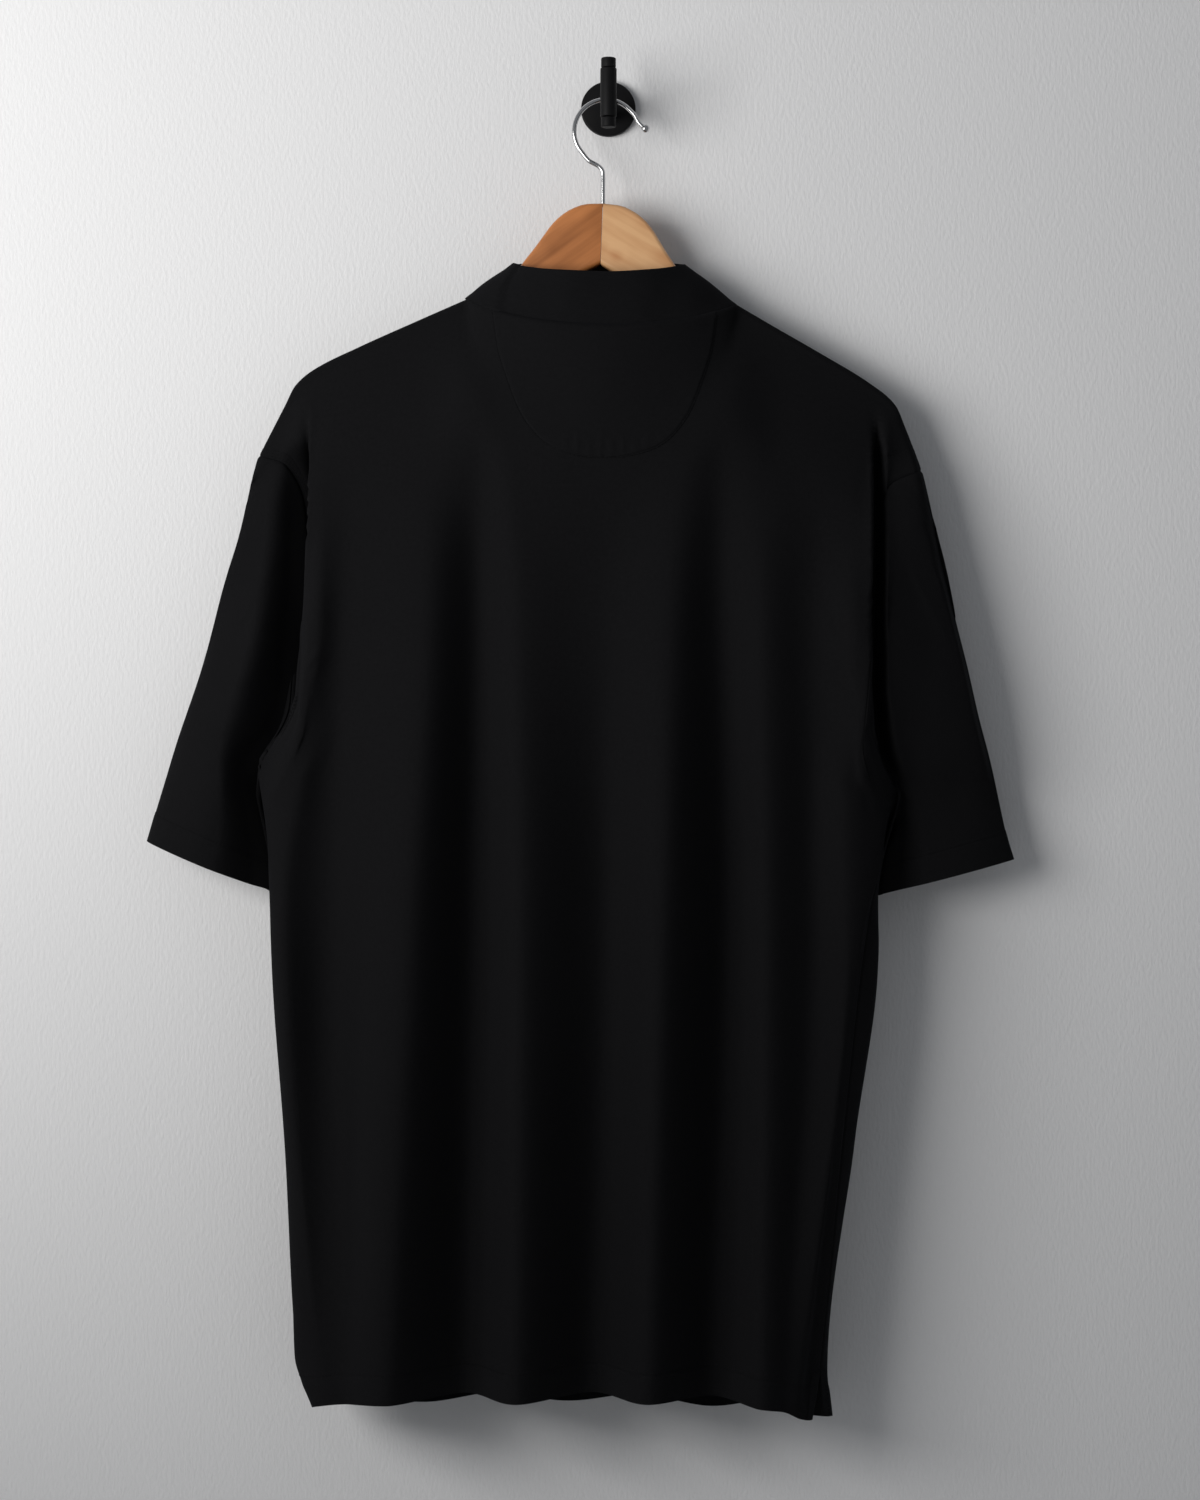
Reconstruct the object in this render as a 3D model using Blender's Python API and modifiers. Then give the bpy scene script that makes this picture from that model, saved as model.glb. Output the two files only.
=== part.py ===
# A mock neck t-shirt, its back to the viewer, on a wooden hanger that hangs from a wall hook.
# Metres. +X is the viewer's right, +Y goes into the wall, +Z is up.
# The origin is the middle of the wall plate's back face, on the wall.
# Each cloth piece is a wall around an open hollow: the surfaces below are its outer face.

import math
from collections import namedtuple

import bmesh
import bpy
from mathutils import Vector

COLLECTION_NAME = "mock neck t-shirt"

# Cloth walls and the gaps between the pieces.
PANEL_WALL = 0.0014
COLLAR_WALL = 0.0026
PATCH_WALL = 0.0012
SEAM_GAP = 0.0004
PATCH_LIFT = 0.0006

# The hanger's plane, which the shoulder seams follow.
HANGER_Y = -0.036

# Shares of the way up a panel, from the hem (0) to the shoulder or neck seam (1).
WAIST = 0.466
CHEST = 0.747
UPPER = 0.870

# The cloth turns over the hanger arm: how far it stands out from the seam at a share.
Turn = namedtuple("Turn", "share out")
SHOULDER_TURN = (
    Turn(0.9900, 0.0088),
    Turn(0.9955, 0.0080),
    Turn(0.9995, 0.0048),
    Turn(1.0000, 0.0000),
)
NECK_TURN_SCALE = 0.2
NECK_TURN_FROM = 0.2

# The shoulder line's outline, from the neck to the end of the shoulder seam.
Shoulder = namedtuple("Shoulder", "x z")
LEFT_SHOULDER = (
    Shoulder(-0.105, -0.149),
    Shoulder(-0.143, -0.1656),
    Shoulder(-0.186, -0.185),
    Shoulder(-0.220, -0.202),
    Shoulder(-0.2335, -0.2135),
    Shoulder(-0.242, -0.230),
    Shoulder(-0.261, -0.267),
)
RIGHT_SHOULDER = (
    Shoulder(0.095, -0.153),
    Shoulder(0.121, -0.1683),
    Shoulder(0.1575, -0.1893),
    Shoulder(0.1956, -0.2125),
    Shoulder(0.214, -0.228),
    Shoulder(0.222, -0.246),
    Shoulder(0.234, -0.278),
)

# A ring around the neck, wider than deep: the seam at the collar's foot, and its rim.
Ring = namedtuple("Ring", "mid half side_power left_z right_z back_out back_drop front_out front_drop")
NECK_SEAM = Ring(-0.005, 0.100, 1.00, -0.149, -0.153, 0.0415, 0.0225, 0.0275, 0.0150)
COLLAR_RIM = Ring(-0.007, 0.0645, 0.85, -0.125, -0.1255, 0.0335, 0.0095, 0.0245, -0.0060)
RING_POWER = 1.15
RING_DROP_POWER = 1.3
COLLAR_LIFTS = (0.0, 0.35, 0.7, 1.0)
COLLAR_START = 0.0006

# The side and armhole edge of a panel, from the hem to the shoulder's end: its seam, the ridge
# beside it, and a place beyond it, where the cloth of the next piece goes.
Edge = namedtuple("Edge", "name share seam_x seam_y seam_z ridge_x ridge_y beyond_x beyond_y")
BACK_LEFT = (
    Edge("hem", 0.000, -0.212, -0.062, -0.970, -0.217, -0.088, -0.205, -0.040),
    Edge("vent", 0.045, -0.223, -0.052, -0.928, -0.230, -0.075, -0.217, -0.034),
    Edge("hip", 0.275, -0.231, -0.050, -0.746, -0.240, -0.072, -0.224, -0.030),
    Edge("waist", 0.466, -0.240, -0.051, -0.600, -0.249, -0.072, -0.231, -0.032),
    Edge("armpit", 0.582, -0.260, -0.058, -0.499, -0.251, -0.080, -0.233, -0.038),
    Edge("armpit at the sleeve", 0.582, -0.260, -0.058, -0.499, -0.251, -0.080, -0.268, -0.048),
    Edge("low armhole", 0.653, -0.229, -0.084, -0.442, -0.224, -0.094, -0.233, -0.062),
    Edge("mid armhole", 0.717, -0.227, -0.076, -0.398, -0.222, -0.091, -0.234, -0.058),
    Edge("high armhole", 0.845, -0.230, -0.047, -0.304, -0.222, -0.080, -0.244, -0.049),
    Edge("shoulder drop", 0.940, -0.240, -0.045, -0.274, -0.226, -0.060, -0.256, -0.047),
)
BACK_RIGHT = (
    Edge("hem", 0.000, 0.149, -0.088, -0.975, 0.141, -0.100, 0.161, -0.066),
    Edge("vent", 0.045, 0.155, -0.086, -0.937, 0.145, -0.094, 0.161, -0.070),
    Edge("hip", 0.275, 0.174, -0.086, -0.750, 0.166, -0.092, 0.182, -0.068),
    Edge("waist", 0.466, 0.192, -0.079, -0.607, 0.183, -0.089, 0.200, -0.062),
    Edge("armpit", 0.582, 0.217, -0.058, -0.521, 0.197, -0.082, 0.198, -0.038),
    Edge("armpit at the sleeve", 0.582, 0.217, -0.058, -0.521, 0.197, -0.082, 0.225, -0.048),
    Edge("low armhole", 0.653, 0.184, -0.090, -0.461, 0.177, -0.095, 0.190, -0.066),
    Edge("mid armhole", 0.717, 0.186, -0.084, -0.410, 0.180, -0.093, 0.194, -0.060),
    Edge("high armhole", 0.845, 0.199, -0.050, -0.315, 0.192, -0.083, 0.213, -0.050),
    Edge("shoulder drop", 0.940, 0.208, -0.045, -0.290, 0.200, -0.060, 0.224, -0.047),
)
FRONT_LEFT = (
    Edge("hem", 0.000, -0.212, -0.062, -0.970, -0.205, -0.040, -0.217, -0.088),
    Edge("vent", 0.045, -0.223, -0.052, -0.928, -0.217, -0.034, -0.230, -0.075),
    Edge("hip", 0.275, -0.231, -0.050, -0.746, -0.224, -0.030, -0.240, -0.072),
    Edge("waist", 0.466, -0.240, -0.051, -0.600, -0.231, -0.032, -0.249, -0.072),
    Edge("armpit", 0.582, -0.260, -0.058, -0.499, -0.233, -0.038, -0.251, -0.080),
    Edge("armpit at the sleeve", 0.582, -0.260, -0.058, -0.499, -0.233, -0.038, -0.268, -0.048),
    Edge("low armhole", 0.653, -0.238, -0.034, -0.452, -0.225, -0.030, -0.246, -0.026),
    Edge("mid armhole", 0.717, -0.236, -0.025, -0.398, -0.223, -0.023, -0.248, -0.018),
    Edge("high armhole", 0.845, -0.240, -0.020, -0.310, -0.225, -0.021, -0.254, -0.016),
    Edge("shoulder drop", 0.940, -0.247, -0.024, -0.280, -0.230, -0.023, -0.260, -0.020),
)
FRONT_RIGHT = (
    Edge("hem", 0.000, 0.149, -0.088, -0.975, 0.161, -0.066, 0.141, -0.100),
    Edge("vent", 0.045, 0.155, -0.086, -0.937, 0.161, -0.070, 0.145, -0.094),
    Edge("hip", 0.275, 0.174, -0.086, -0.750, 0.182, -0.068, 0.166, -0.092),
    Edge("waist", 0.466, 0.192, -0.079, -0.607, 0.200, -0.062, 0.183, -0.089),
    Edge("armpit", 0.582, 0.217, -0.058, -0.521, 0.198, -0.038, 0.197, -0.082),
    Edge("armpit at the sleeve", 0.582, 0.217, -0.058, -0.521, 0.198, -0.038, 0.225, -0.048),
    Edge("low armhole", 0.653, 0.201, -0.034, -0.468, 0.188, -0.030, 0.209, -0.026),
    Edge("mid armhole", 0.717, 0.200, -0.025, -0.410, 0.188, -0.023, 0.212, -0.018),
    Edge("high armhole", 0.845, 0.209, -0.020, -0.322, 0.195, -0.021, 0.223, -0.016),
    Edge("shoulder drop", 0.940, 0.216, -0.024, -0.292, 0.200, -0.023, 0.229, -0.020),
)
PIT_ROW = 4
PIT_SHARE = BACK_LEFT[PIT_ROW].share

# The folds, left to right: where each ridge or valley runs, how far it stands from the wall,
# and the number of steps from it to the next line.
Fold = namedtuple("Fold", "name steps top_x chest_x waist_x hem_x upper_y chest_y waist_y hem_y hem_z")
BACK_FOLDS = (
    Fold("outer left ridge", 2, -0.215, -0.212, -0.237, -0.207, -0.074, -0.092, -0.088, -0.100, -0.963),
    Fold("outer left valley", 3, -0.183, -0.193, -0.205, -0.193, -0.072, -0.084, -0.078, -0.104, -0.961),
    Fold("left ridge", 3, -0.145, -0.134, -0.144, -0.161, -0.074, -0.094, -0.108, -0.124, -0.958),
    Fold("left valley", 4, -0.105, -0.096, -0.098, -0.105, -0.077, -0.074, -0.070, -0.078, -0.958),
    Fold("left middle ridge", 3, None, -0.065, -0.063, -0.067, -0.082, -0.092, -0.106, -0.124, -0.957),
    Fold("middle valley", 3, None, -0.006, -0.003, -0.012, -0.084, -0.082, -0.074, -0.080, -0.957),
    Fold("right middle ridge", 4, None, 0.045, 0.039, 0.028, -0.083, -0.094, -0.108, -0.124, -0.957),
    Fold("right valley", 3, 0.095, 0.083, 0.088, 0.076, -0.078, -0.076, -0.070, -0.082, -0.959),
    Fold("right ridge", 3, 0.140, 0.114, 0.116, 0.110, -0.075, -0.091, -0.098, -0.118, -0.962),
    Fold("outer right valley", 2, 0.174, 0.149, 0.151, 0.128, -0.073, -0.080, -0.082, -0.108, -0.966),
    Fold("outer right ridge", 2, 0.198, 0.172, 0.174, 0.136, -0.074, -0.092, -0.092, -0.104, -0.970),
)
FRONT_FOLDS = (
    Fold("outer left ridge", 3, -0.215, -0.205, -0.206, -0.188, -0.018, -0.017, -0.020, -0.024, -0.972),
    Fold("left valley", 3, -0.160, -0.150, -0.148, -0.138, -0.022, -0.026, -0.034, -0.042, -0.972),
    Fold("left ridge", 3, -0.105, -0.092, -0.088, -0.086, -0.018, -0.013, -0.010, -0.009, -0.972),
    Fold("middle valley", 3, None, -0.030, -0.026, -0.030, -0.015, -0.021, -0.030, -0.038, -0.972),
    Fold("right ridge", 3, None, 0.034, 0.034, 0.022, -0.016, -0.012, -0.010, -0.009, -0.973),
    Fold("right valley", 3, 0.095, 0.090, 0.092, 0.074, -0.019, -0.024, -0.032, -0.042, -0.975),
    Fold("right outer ridge", 3, 0.150, 0.140, 0.138, 0.112, -0.020, -0.015, -0.014, -0.016, -0.978),
    Fold("outer right turn", 2, 0.198, 0.180, 0.180, 0.146, -0.020, -0.018, -0.028, -0.036, -0.982),
)
SEAM_TRIM = 0.018
PIT_TRIM = 0.05
PIT_REACH = 0.06
EDGE_STOPS = (0.15, 0.5, 1.0)
TOP_MEETS = 0.93
PANEL_ROWS = (0, 0.045, 0.11, 0.19, 0.275, 0.37, 0.466, 0.53, 0.582, 0.617, 0.653, 0.685, 0.717, 0.78,
              0.845, 0.895, 0.94, 0.972, 0.99, 0.9955, 0.9995, 1)

# The half-moon patch on the back: its outline under the neck seam.
PATCH_TOP_HALF = 0.083
PATCH_MID_X = -0.003
PATCH_LOW_Z = -0.272
PATCH_SWEEP = math.radians(82)
PATCH_COLUMNS = 14
PATCH_ROWS = 8
PATCH_TOP_GAP = 0.0012

# How a place on a panel is found: steps tried, and the two small moves that show its slopes.
PLACE_STEPS = 7
PLACE_FROM = 0.9
PLACE_LOW = 0.5
PLACE_HIGH = 0.9999
NEAR_AT = 0.05
NEAR_SHARE = 0.004

# Three rings down a sleeve, the last at its hem, each from its outer corner to its inner one.
SleeveRing = namedtuple("SleeveRing", "down outer_x outer_z inner_x inner_y inner_z back_out front_out")
LEFT_SLEEVE = (
    SleeveRing(0.5, -0.301, -0.419, -0.271, -0.043, -0.522, 0.014, 0.020),
    SleeveRing(0.72, -0.3215, -0.4795, -0.2585, -0.034, -0.552, 0.019, 0.021),
    SleeveRing(1.0, -0.344, -0.554, -0.249, -0.030, -0.594, 0.024, 0.022),
)
RIGHT_SLEEVE = (
    SleeveRing(0.5, 0.267, -0.419, 0.228, -0.043, -0.542, 0.014, 0.020),
    SleeveRing(0.72, 0.2835, -0.4855, 0.2135, -0.034, -0.566, 0.019, 0.021),
    SleeveRing(1.0, 0.303, -0.568, 0.204, -0.030, -0.596, 0.024, 0.022),
)
SLEEVE_TRIM = 0.0045
PIT_ROOM = 0.0018
PIT_ROOM_REACH = 0.12
FOLLOW_FULL = 0.65
FOLLOW_END = 0.97
SLEEVE_STEPS = (0.0, 0.02, 0.06, 0.10, 0.18, 0.30, 0.42, 0.55, 0.70, 0.85, 1)
SLEEVE_BEYOND = 0.10

# The wooden hanger: half of its outline, from the top centre outwards and down.
HANGER_TOP = (-0.0041, -0.0778)
HANGER_TILT = math.radians(2.4)
HANGER_WOOD = 0.012
HANGER_ROUNDING = 0.003
HALF_GAP = 0.0003
SHARP_ANGLE = math.radians(60)
Outline = namedtuple("Outline", "out down")
HANGER_UPPER = (
    Outline(0.012, 0.001),
    Outline(0.023, 0.005),
    Outline(0.0315, 0.011),
    Outline(0.0375, 0.0174),
    Outline(0.044, 0.027),
    Outline(0.050, 0.036),
    Outline(0.057, 0.0455),
    Outline(0.065, 0.0575),
    Outline(0.075, 0.0685),
    Outline(0.085, 0.0765),
    Outline(0.098, 0.0840),
    Outline(0.150, 0.1085),
    Outline(0.202, 0.1365),
)
HANGER_TIP = Outline(0.2085, 0.1510)
TIP_RADIUS = 0.0115
TIP_TURNS = (-40, -5, 30, 70)
HANGER_LOWER = (
    Outline(0.2045, 0.1615),
    Outline(0.110, 0.1055),
    Outline(0.030, 0.0620),
    Outline(0.000, 0.0455),
)

# The wire hook: a shank, a bend and most of a circle that ends in a turned-out tip with a ball.
WIRE_RADIUS = 0.00172
HOOK_CENTRE = (-0.0018, -0.0236)
HOOK_RADIUS = 0.0239
HOOK_START = math.radians(41)
HOOK_END = math.radians(222)
HOOK_STEPS = 18
SHANK_X = -0.0041
SHANK_TOP = -0.054
SHANK_BOTTOM = -0.0775
Route = namedtuple("Route", "x z")
HOOK_TIP = (Route(0.0277, -0.0214), Route(0.0245, -0.0190), Route(0.0218, -0.0158), Route(0.0195, -0.0112))
HOOK_FOOT = (Route(-0.0143, -0.0459), Route(-0.0088, -0.0487), Route(-0.0053, -0.0515))
BALL_RADIUS = 0.0031

# The wall hook.
PLATE_RADIUS = 0.0207
PLATE_THICKNESS = 0.006
PLATE_ROUNDING = 0.0012
STEM_RADIUS = 0.0045
STEM_Z = -0.0066
BAR_Y = -0.052
BAR_Z = 0.0020
BAR_RADIUS = 0.0061
BAR_LENGTH = 0.036
BAR_ROUNDING = 0.0008
CAP_RADIUS = 0.0055
CAP_LENGTH = 0.0073
ROUND_SIDES = 32


def material(name, colour, roughness, metallic=0.0):
    made = bpy.data.materials.new(name)
    made.use_nodes = True
    shader = made.node_tree.nodes["Principled BSDF"]
    shader.inputs["Base Color"].default_value = (*colour, 1.0)
    shader.inputs["Roughness"].default_value = roughness
    shader.inputs["Metallic"].default_value = metallic
    made.diffuse_color = (*colour, 1.0)
    return made


def clear_scene():
    for old in list(bpy.data.objects):
        bpy.data.objects.remove(old, do_unlink=True)
    collection = bpy.data.collections.new(COLLECTION_NAME)
    bpy.context.scene.collection.children.link(collection)
    return collection


def add_object(collection, name, mesh, finish):
    made = bpy.data.objects.new(name, mesh)
    made.data.materials.append(finish)
    collection.objects.link(made)
    return made


# ---- curves that pass through their knots and never swing past them ----

def slopes(knots, values):
    count = len(knots)
    rises = [(values[i + 1] - values[i]) / (knots[i + 1] - knots[i]) for i in range(count - 1)]
    made = [rises[0]]
    for before, after in zip(rises, rises[1:]):
        same_way = before * after > 0
        made.append(2 * before * after / (before + after) if same_way else 0.0)
    made.append(rises[-1])
    return made


def eased(knots, values, at):
    tangents = slopes(knots, values)
    i = 0
    while i < len(knots) - 2 and at > knots[i + 1]:
        i += 1
    span = knots[i + 1] - knots[i]
    t = min(max((at - knots[i]) / span, 0.0), 1.0)
    start = (1 + 2 * t) * (1 - t) ** 2 * values[i] + t * (1 - t) ** 2 * span * tangents[i]
    end = t * t * (3 - 2 * t) * values[i + 1] + t * t * (t - 1) * span * tangents[i + 1]
    return start + end


def smooth_step(low, high, at):
    t = min(max((at - low) / (high - low), 0.0), 1.0)
    return t * t * (3 - 2 * t)


# ---- the neck rings and the shoulder line ----

def ring_point(ring, share, back):
    """A point of a ring, from its left side (0) over the back or front to its right side (1)."""
    angle = math.pi * share
    reach = math.cos(angle)
    bulge = math.sin(angle) ** RING_POWER
    x = ring.mid - ring.half * math.copysign(abs(reach) ** ring.side_power, reach)
    y = HANGER_Y + (-ring.back_out if back else ring.front_out) * bulge
    drop = ring.back_drop if back else ring.front_drop
    z = ring.left_z + (ring.right_z - ring.left_z) * share - drop * bulge ** RING_DROP_POWER
    return Vector((x, y, z))


def shoulder_z(line, x):
    ordered = sorted(line)
    return eased([row.x for row in ordered], [row.z for row in ordered], x)


# ---- the panels ----

class Panel:
    """The back or the front: columns run up it along its edges, folds and valleys."""

    def __init__(self, left, right, folds, back):
        self.left = left
        self.right = right
        self.folds = folds
        self.back = back
        self.out = -1 if back else 1
        self.seam_y = HANGER_Y + self.out * SEAM_GAP / 2
        self.count = len(folds) + 4
        self.neck_left = 2 + [fold.top_x for fold in folds].index(LEFT_SHOULDER[0].x)
        self.neck_right = 2 + [fold.top_x for fold in folds].index(RIGHT_SHOULDER[0].x)

    def top_x(self, column):
        if column == 0:
            return LEFT_SHOULDER[-1].x
        if column == self.count - 1:
            return RIGHT_SHOULDER[-1].x
        if column == 1:
            return LEFT_SHOULDER[-3].x
        if column == self.count - 2:
            return RIGHT_SHOULDER[-3].x
        return self.folds[column - 2].top_x

    def top(self, at):
        """The seam along the top: shoulder, neck and shoulder."""
        if self.neck_left < at < self.neck_right:
            share = (at - self.neck_left) / (self.neck_right - self.neck_left)
            point = ring_point(NECK_SEAM, share, self.back)
            if abs(point.y - HANGER_Y) < SEAM_GAP / 2:
                point.y = self.seam_y
            return point
        on_left = at <= self.neck_left
        columns = range(self.neck_left + 1) if on_left else range(self.neck_right, self.count)
        x = eased(list(columns), [self.top_x(column) for column in columns], at)
        line = LEFT_SHOULDER if on_left else RIGHT_SHOULDER
        return Vector((x, self.seam_y, shoulder_z(line, x)))

    def turn_scale(self, at):
        """How far the cloth turns over at the top: over the arms wholly, at the neck hardly."""
        into_neck = min(at - self.neck_left, self.neck_right - at)
        return 1 - (1 - NECK_TURN_SCALE) * smooth_step(NECK_TURN_FROM, 1.0, into_neck)

    def column_point(self, column, share):
        top = self.top(column)
        turn = self.turn_scale(column)
        turn_shares = [row.share for row in SHOULDER_TURN]
        turn_ys = [top.y + self.out * row.out * turn for row in SHOULDER_TURN]
        if column in (0, self.count - 1):
            rows = self.left if column == 0 else self.right
            if share <= PIT_SHARE:
                rows = rows[:PIT_ROW + 1]
                shares = [row.share for row in rows]
                return Vector((
                    eased(shares, [row.seam_x for row in rows], share),
                    eased(shares, [row.seam_y for row in rows], share),
                    eased(shares, [row.seam_z for row in rows], share),
                ))
            rows = rows[PIT_ROW + 1:]
            shares = [row.share for row in rows]
            return Vector((
                eased(shares + [1.0], [row.seam_x for row in rows] + [top.x], share),
                eased(shares + turn_shares, [row.seam_y for row in rows] + turn_ys, share),
                eased(shares + [1.0], [row.seam_z for row in rows] + [top.z], share),
            ))
        if column in (1, self.count - 2):
            rows = self.left if column == 1 else self.right
            rows = rows[:PIT_ROW] + rows[PIT_ROW + 1:]
            shares = [row.share for row in rows]
            x = eased(shares + [1.0], [row.ridge_x for row in rows] + [top.x], share)
            y = eased(shares + turn_shares, [row.ridge_y for row in rows] + turn_ys, share)
            next_fold = self.folds[0] if column == 1 else self.folds[-1]
            hem_z = (rows[0].seam_z + next_fold.hem_z) / 2
            return Vector((x, y, hem_z + (top.z - hem_z) * share))
        fold = self.folds[column - 2]
        x = eased([0, WAIST, CHEST, 1], [fold.hem_x, fold.waist_x, fold.chest_x, top.x], share)
        depths = [fold.hem_y, fold.waist_y, fold.chest_y, fold.upper_y]
        y = eased([0, WAIST, CHEST, UPPER] + turn_shares, depths + turn_ys, share)
        return Vector((x, y, fold.hem_z + (top.z - fold.hem_z) * share))

    def beyond(self, on_left, share):
        """A place past the seam, in the next piece: the cloth turns towards it."""
        rows = self.left if on_left else self.right
        edge = 0 if on_left else self.count - 1
        end = self.top(edge)
        shares = [row.share for row in rows] + [1.0]
        xs = [row.beyond_x for row in rows] + [2 * end.x - self.top_x(1 if on_left else edge - 1)]
        ys = [row.beyond_y for row in rows] + [end.y]
        kept = slice(None, PIT_ROW + 1) if share <= PIT_SHARE else slice(PIT_ROW + 1, None)
        x = eased(shares[kept], xs[kept], share)
        y = eased(shares[kept], ys[kept], share)
        return Vector((x, y, self.column_point(edge, share).z))

    def point(self, at, share):
        """A point of the panel's outer face: at counts the columns, share goes up from the hem."""
        columns = list(range(-1, self.count + 1))
        points = [self.column_point(column, share) for column in columns[1:-1]]
        points = [self.beyond(True, share)] + points + [self.beyond(False, share)]
        made = Vector([eased(columns, [p[axis] for p in points], at) for axis in range(3)])
        near_top = smooth_step(TOP_MEETS, 1.0, share)
        if near_top > 0:
            tops = [self.top(column) for column in columns[1:-1]]
            tops = [self.beyond(True, 1.0)] + tops + [self.beyond(False, 1.0)]
            meant = Vector([eased(columns, [p[axis] for p in tops], at) for axis in range(3)])
            made += near_top * (self.top(at) - meant)
        return made

    def column_stops(self, share=0.0):
        """The columns' places across; the outer two stop just short of the seams."""
        trim = SEAM_TRIM + PIT_TRIM * smooth_step(PIT_REACH, 0.0, abs(share - PIT_SHARE))
        stops = [trim] + list(EDGE_STOPS)
        for column, count in enumerate([2] + [fold.steps for fold in self.folds]):
            stops += [column + 1 + (i + 1) / count for i in range(count)]
        end = self.count - 1
        stops += [end - stop for stop in reversed(EDGE_STOPS[:-1])]
        return stops + [end - trim]

    def neck_stops(self):
        return [at for at in self.column_stops() if self.neck_left <= at <= self.neck_right]

    def place(self, x, z):
        """The column and share of the panel's point at x and z, found in a few Newton steps."""
        at = (self.neck_left + self.neck_right) / 2
        share = PLACE_FROM
        for _ in range(PLACE_STEPS):
            here = self.point(at, share)
            beside = (self.point(at + NEAR_AT, share) - here) / NEAR_AT
            below = (here - self.point(at, share - NEAR_SHARE)) / NEAR_SHARE
            area = beside.x * below.z - beside.z * below.x
            miss_x = x - here.x
            miss_z = z - here.z
            at += (miss_x * below.z - miss_z * below.x) / area
            share += (beside.x * miss_z - beside.z * miss_x) / area
            at = min(max(at, 1.0), self.count - 2.0)
            share = min(max(share, PLACE_LOW), PLACE_HIGH)
        return at, share


def sheet_mesh(name, grid, closed_across=False, face_out=True):
    """An open sheet from rows of points."""
    shape = bmesh.new()
    rows = [[shape.verts.new(point) for point in row] for row in grid]
    across = len(grid[0])
    last = across if closed_across else across - 1
    for lower, upper in zip(rows, rows[1:]):
        for i in range(last):
            j = (i + 1) % across
            corners = [lower[i], lower[j], upper[j], upper[i]]
            shape.faces.new(corners if face_out else reversed(corners))
    mesh = bpy.data.meshes.new(name)
    shape.to_mesh(mesh)
    shape.free()
    mesh.shade_smooth()
    return mesh


def add_wall(made, thickness):
    wall = made.modifiers.new("wall", "SOLIDIFY")
    wall.thickness = thickness
    wall.offset = -1.0
    wall.use_even_offset = False


def add_panel(collection, name, panel, finish):
    grid = [[panel.point(at, share) for at in panel.column_stops(share)] for share in PANEL_ROWS]
    made = add_object(collection, name, sheet_mesh(name, grid, face_out=panel.back), finish)
    add_wall(made, PANEL_WALL)


# ---- the collar, the patch and the sleeves ----

def add_collar(collection, back, front, finish):
    def shares(panel):
        width = panel.neck_right - panel.neck_left
        return [(at - panel.neck_left) / width for at in panel.neck_stops()]

    around = [(share, True) for share in shares(back)]
    around += [(share, False) for share in reversed(shares(front)[1:-1])]
    grid = []
    for lift in COLLAR_LIFTS:
        row = []
        for share, on_back in around:
            foot = ring_point(NECK_SEAM, share, on_back)
            rim = ring_point(COLLAR_RIM, share, on_back)
            foot += (rim - foot).normalized() * COLLAR_START
            row.append(foot.lerp(rim, lift))
        grid.append(row)
    made = add_object(collection, "collar", sheet_mesh("collar", grid, closed_across=True), finish)
    add_wall(made, COLLAR_WALL)


def add_patch(collection, back, finish):
    """A half moon of cloth on the back panel, from its points moved out."""
    grid = []
    for row in range(PATCH_ROWS + 1):
        down = math.sin(PATCH_SWEEP * row / PATCH_ROWS)
        half = PATCH_TOP_HALF * math.cos(PATCH_SWEEP * row / PATCH_ROWS)
        line = []
        for column in range(PATCH_COLUMNS + 1):
            x = PATCH_MID_X + half * (2 * column / PATCH_COLUMNS - 1)
            share = math.acos((NECK_SEAM.mid - x) / NECK_SEAM.half) / math.pi
            top_z = ring_point(NECK_SEAM, share, True).z - PATCH_TOP_GAP
            z = top_z + (PATCH_LOW_Z - top_z) * down
            at, up = back.place(x, z)
            point = back.point(at, up)
            along = back.point(at + NEAR_AT, up) - back.point(at - NEAR_AT, up)
            upward = back.point(at, up) - back.point(at, up - NEAR_SHARE)
            outward = along.cross(upward).normalized()
            line.append(point + outward * (PATCH_LIFT + PATCH_WALL))
        grid.append(line)
    made = add_object(collection, "back_neck_patch", sheet_mesh("patch", grid, face_out=False), finish)
    add_wall(made, PATCH_WALL)


def armhole(back, front, on_left):
    """Around the armhole from the shoulder's end, down the back, up the front: the seam, the ridge
    before it, the place beyond it, and how far the sleeve follows that."""
    shares = [share for share in PANEL_ROWS if share >= PIT_SHARE]

    def stop(panel, share):
        edge = 0 if on_left else panel.count - 1
        ridge = 1 if on_left else panel.count - 2
        return panel.point(edge, share), panel.point(ridge, share), panel.beyond(on_left, share)

    around = [stop(back, share) for share in reversed(shares)]
    around += [stop(front, share) for share in shares[1:-1]]
    follows = [smooth_step(PIT_SHARE, FOLLOW_FULL, share) * smooth_step(1.0, FOLLOW_END, share)
               for share in shares]
    return around, follows[::-1] + follows[1:-1]


def sleeve_ring(ring, around):
    """A flattened ring of a sleeve, a point for each share of the way around it."""
    outer = Vector((ring.outer_x, HANGER_Y, ring.outer_z))
    inner = Vector((ring.inner_x, ring.inner_y, ring.inner_z))
    points = []
    for share in around:
        point = outer.lerp(inner, (1 - math.cos(2 * math.pi * share)) / 2)
        bulge = math.sin(2 * math.pi * share)
        point.y -= bulge * (ring.back_out if bulge > 0 else ring.front_out)
        points.append(point)
    return points


def shares_around(points, half):
    """Each point's share of the way around a ring of points, by length in each of its halves."""
    steps = [(b - a).length for a, b in zip(points, points[1:] + points[:1])]
    back_length = sum(steps[:half])
    front_length = sum(steps[half:])
    gone = [sum(steps[:i]) for i in range(len(points))]
    return [0.5 * g / back_length if i <= half else 0.5 + 0.5 * (g - back_length) / front_length
            for i, g in enumerate(gone)]


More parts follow.
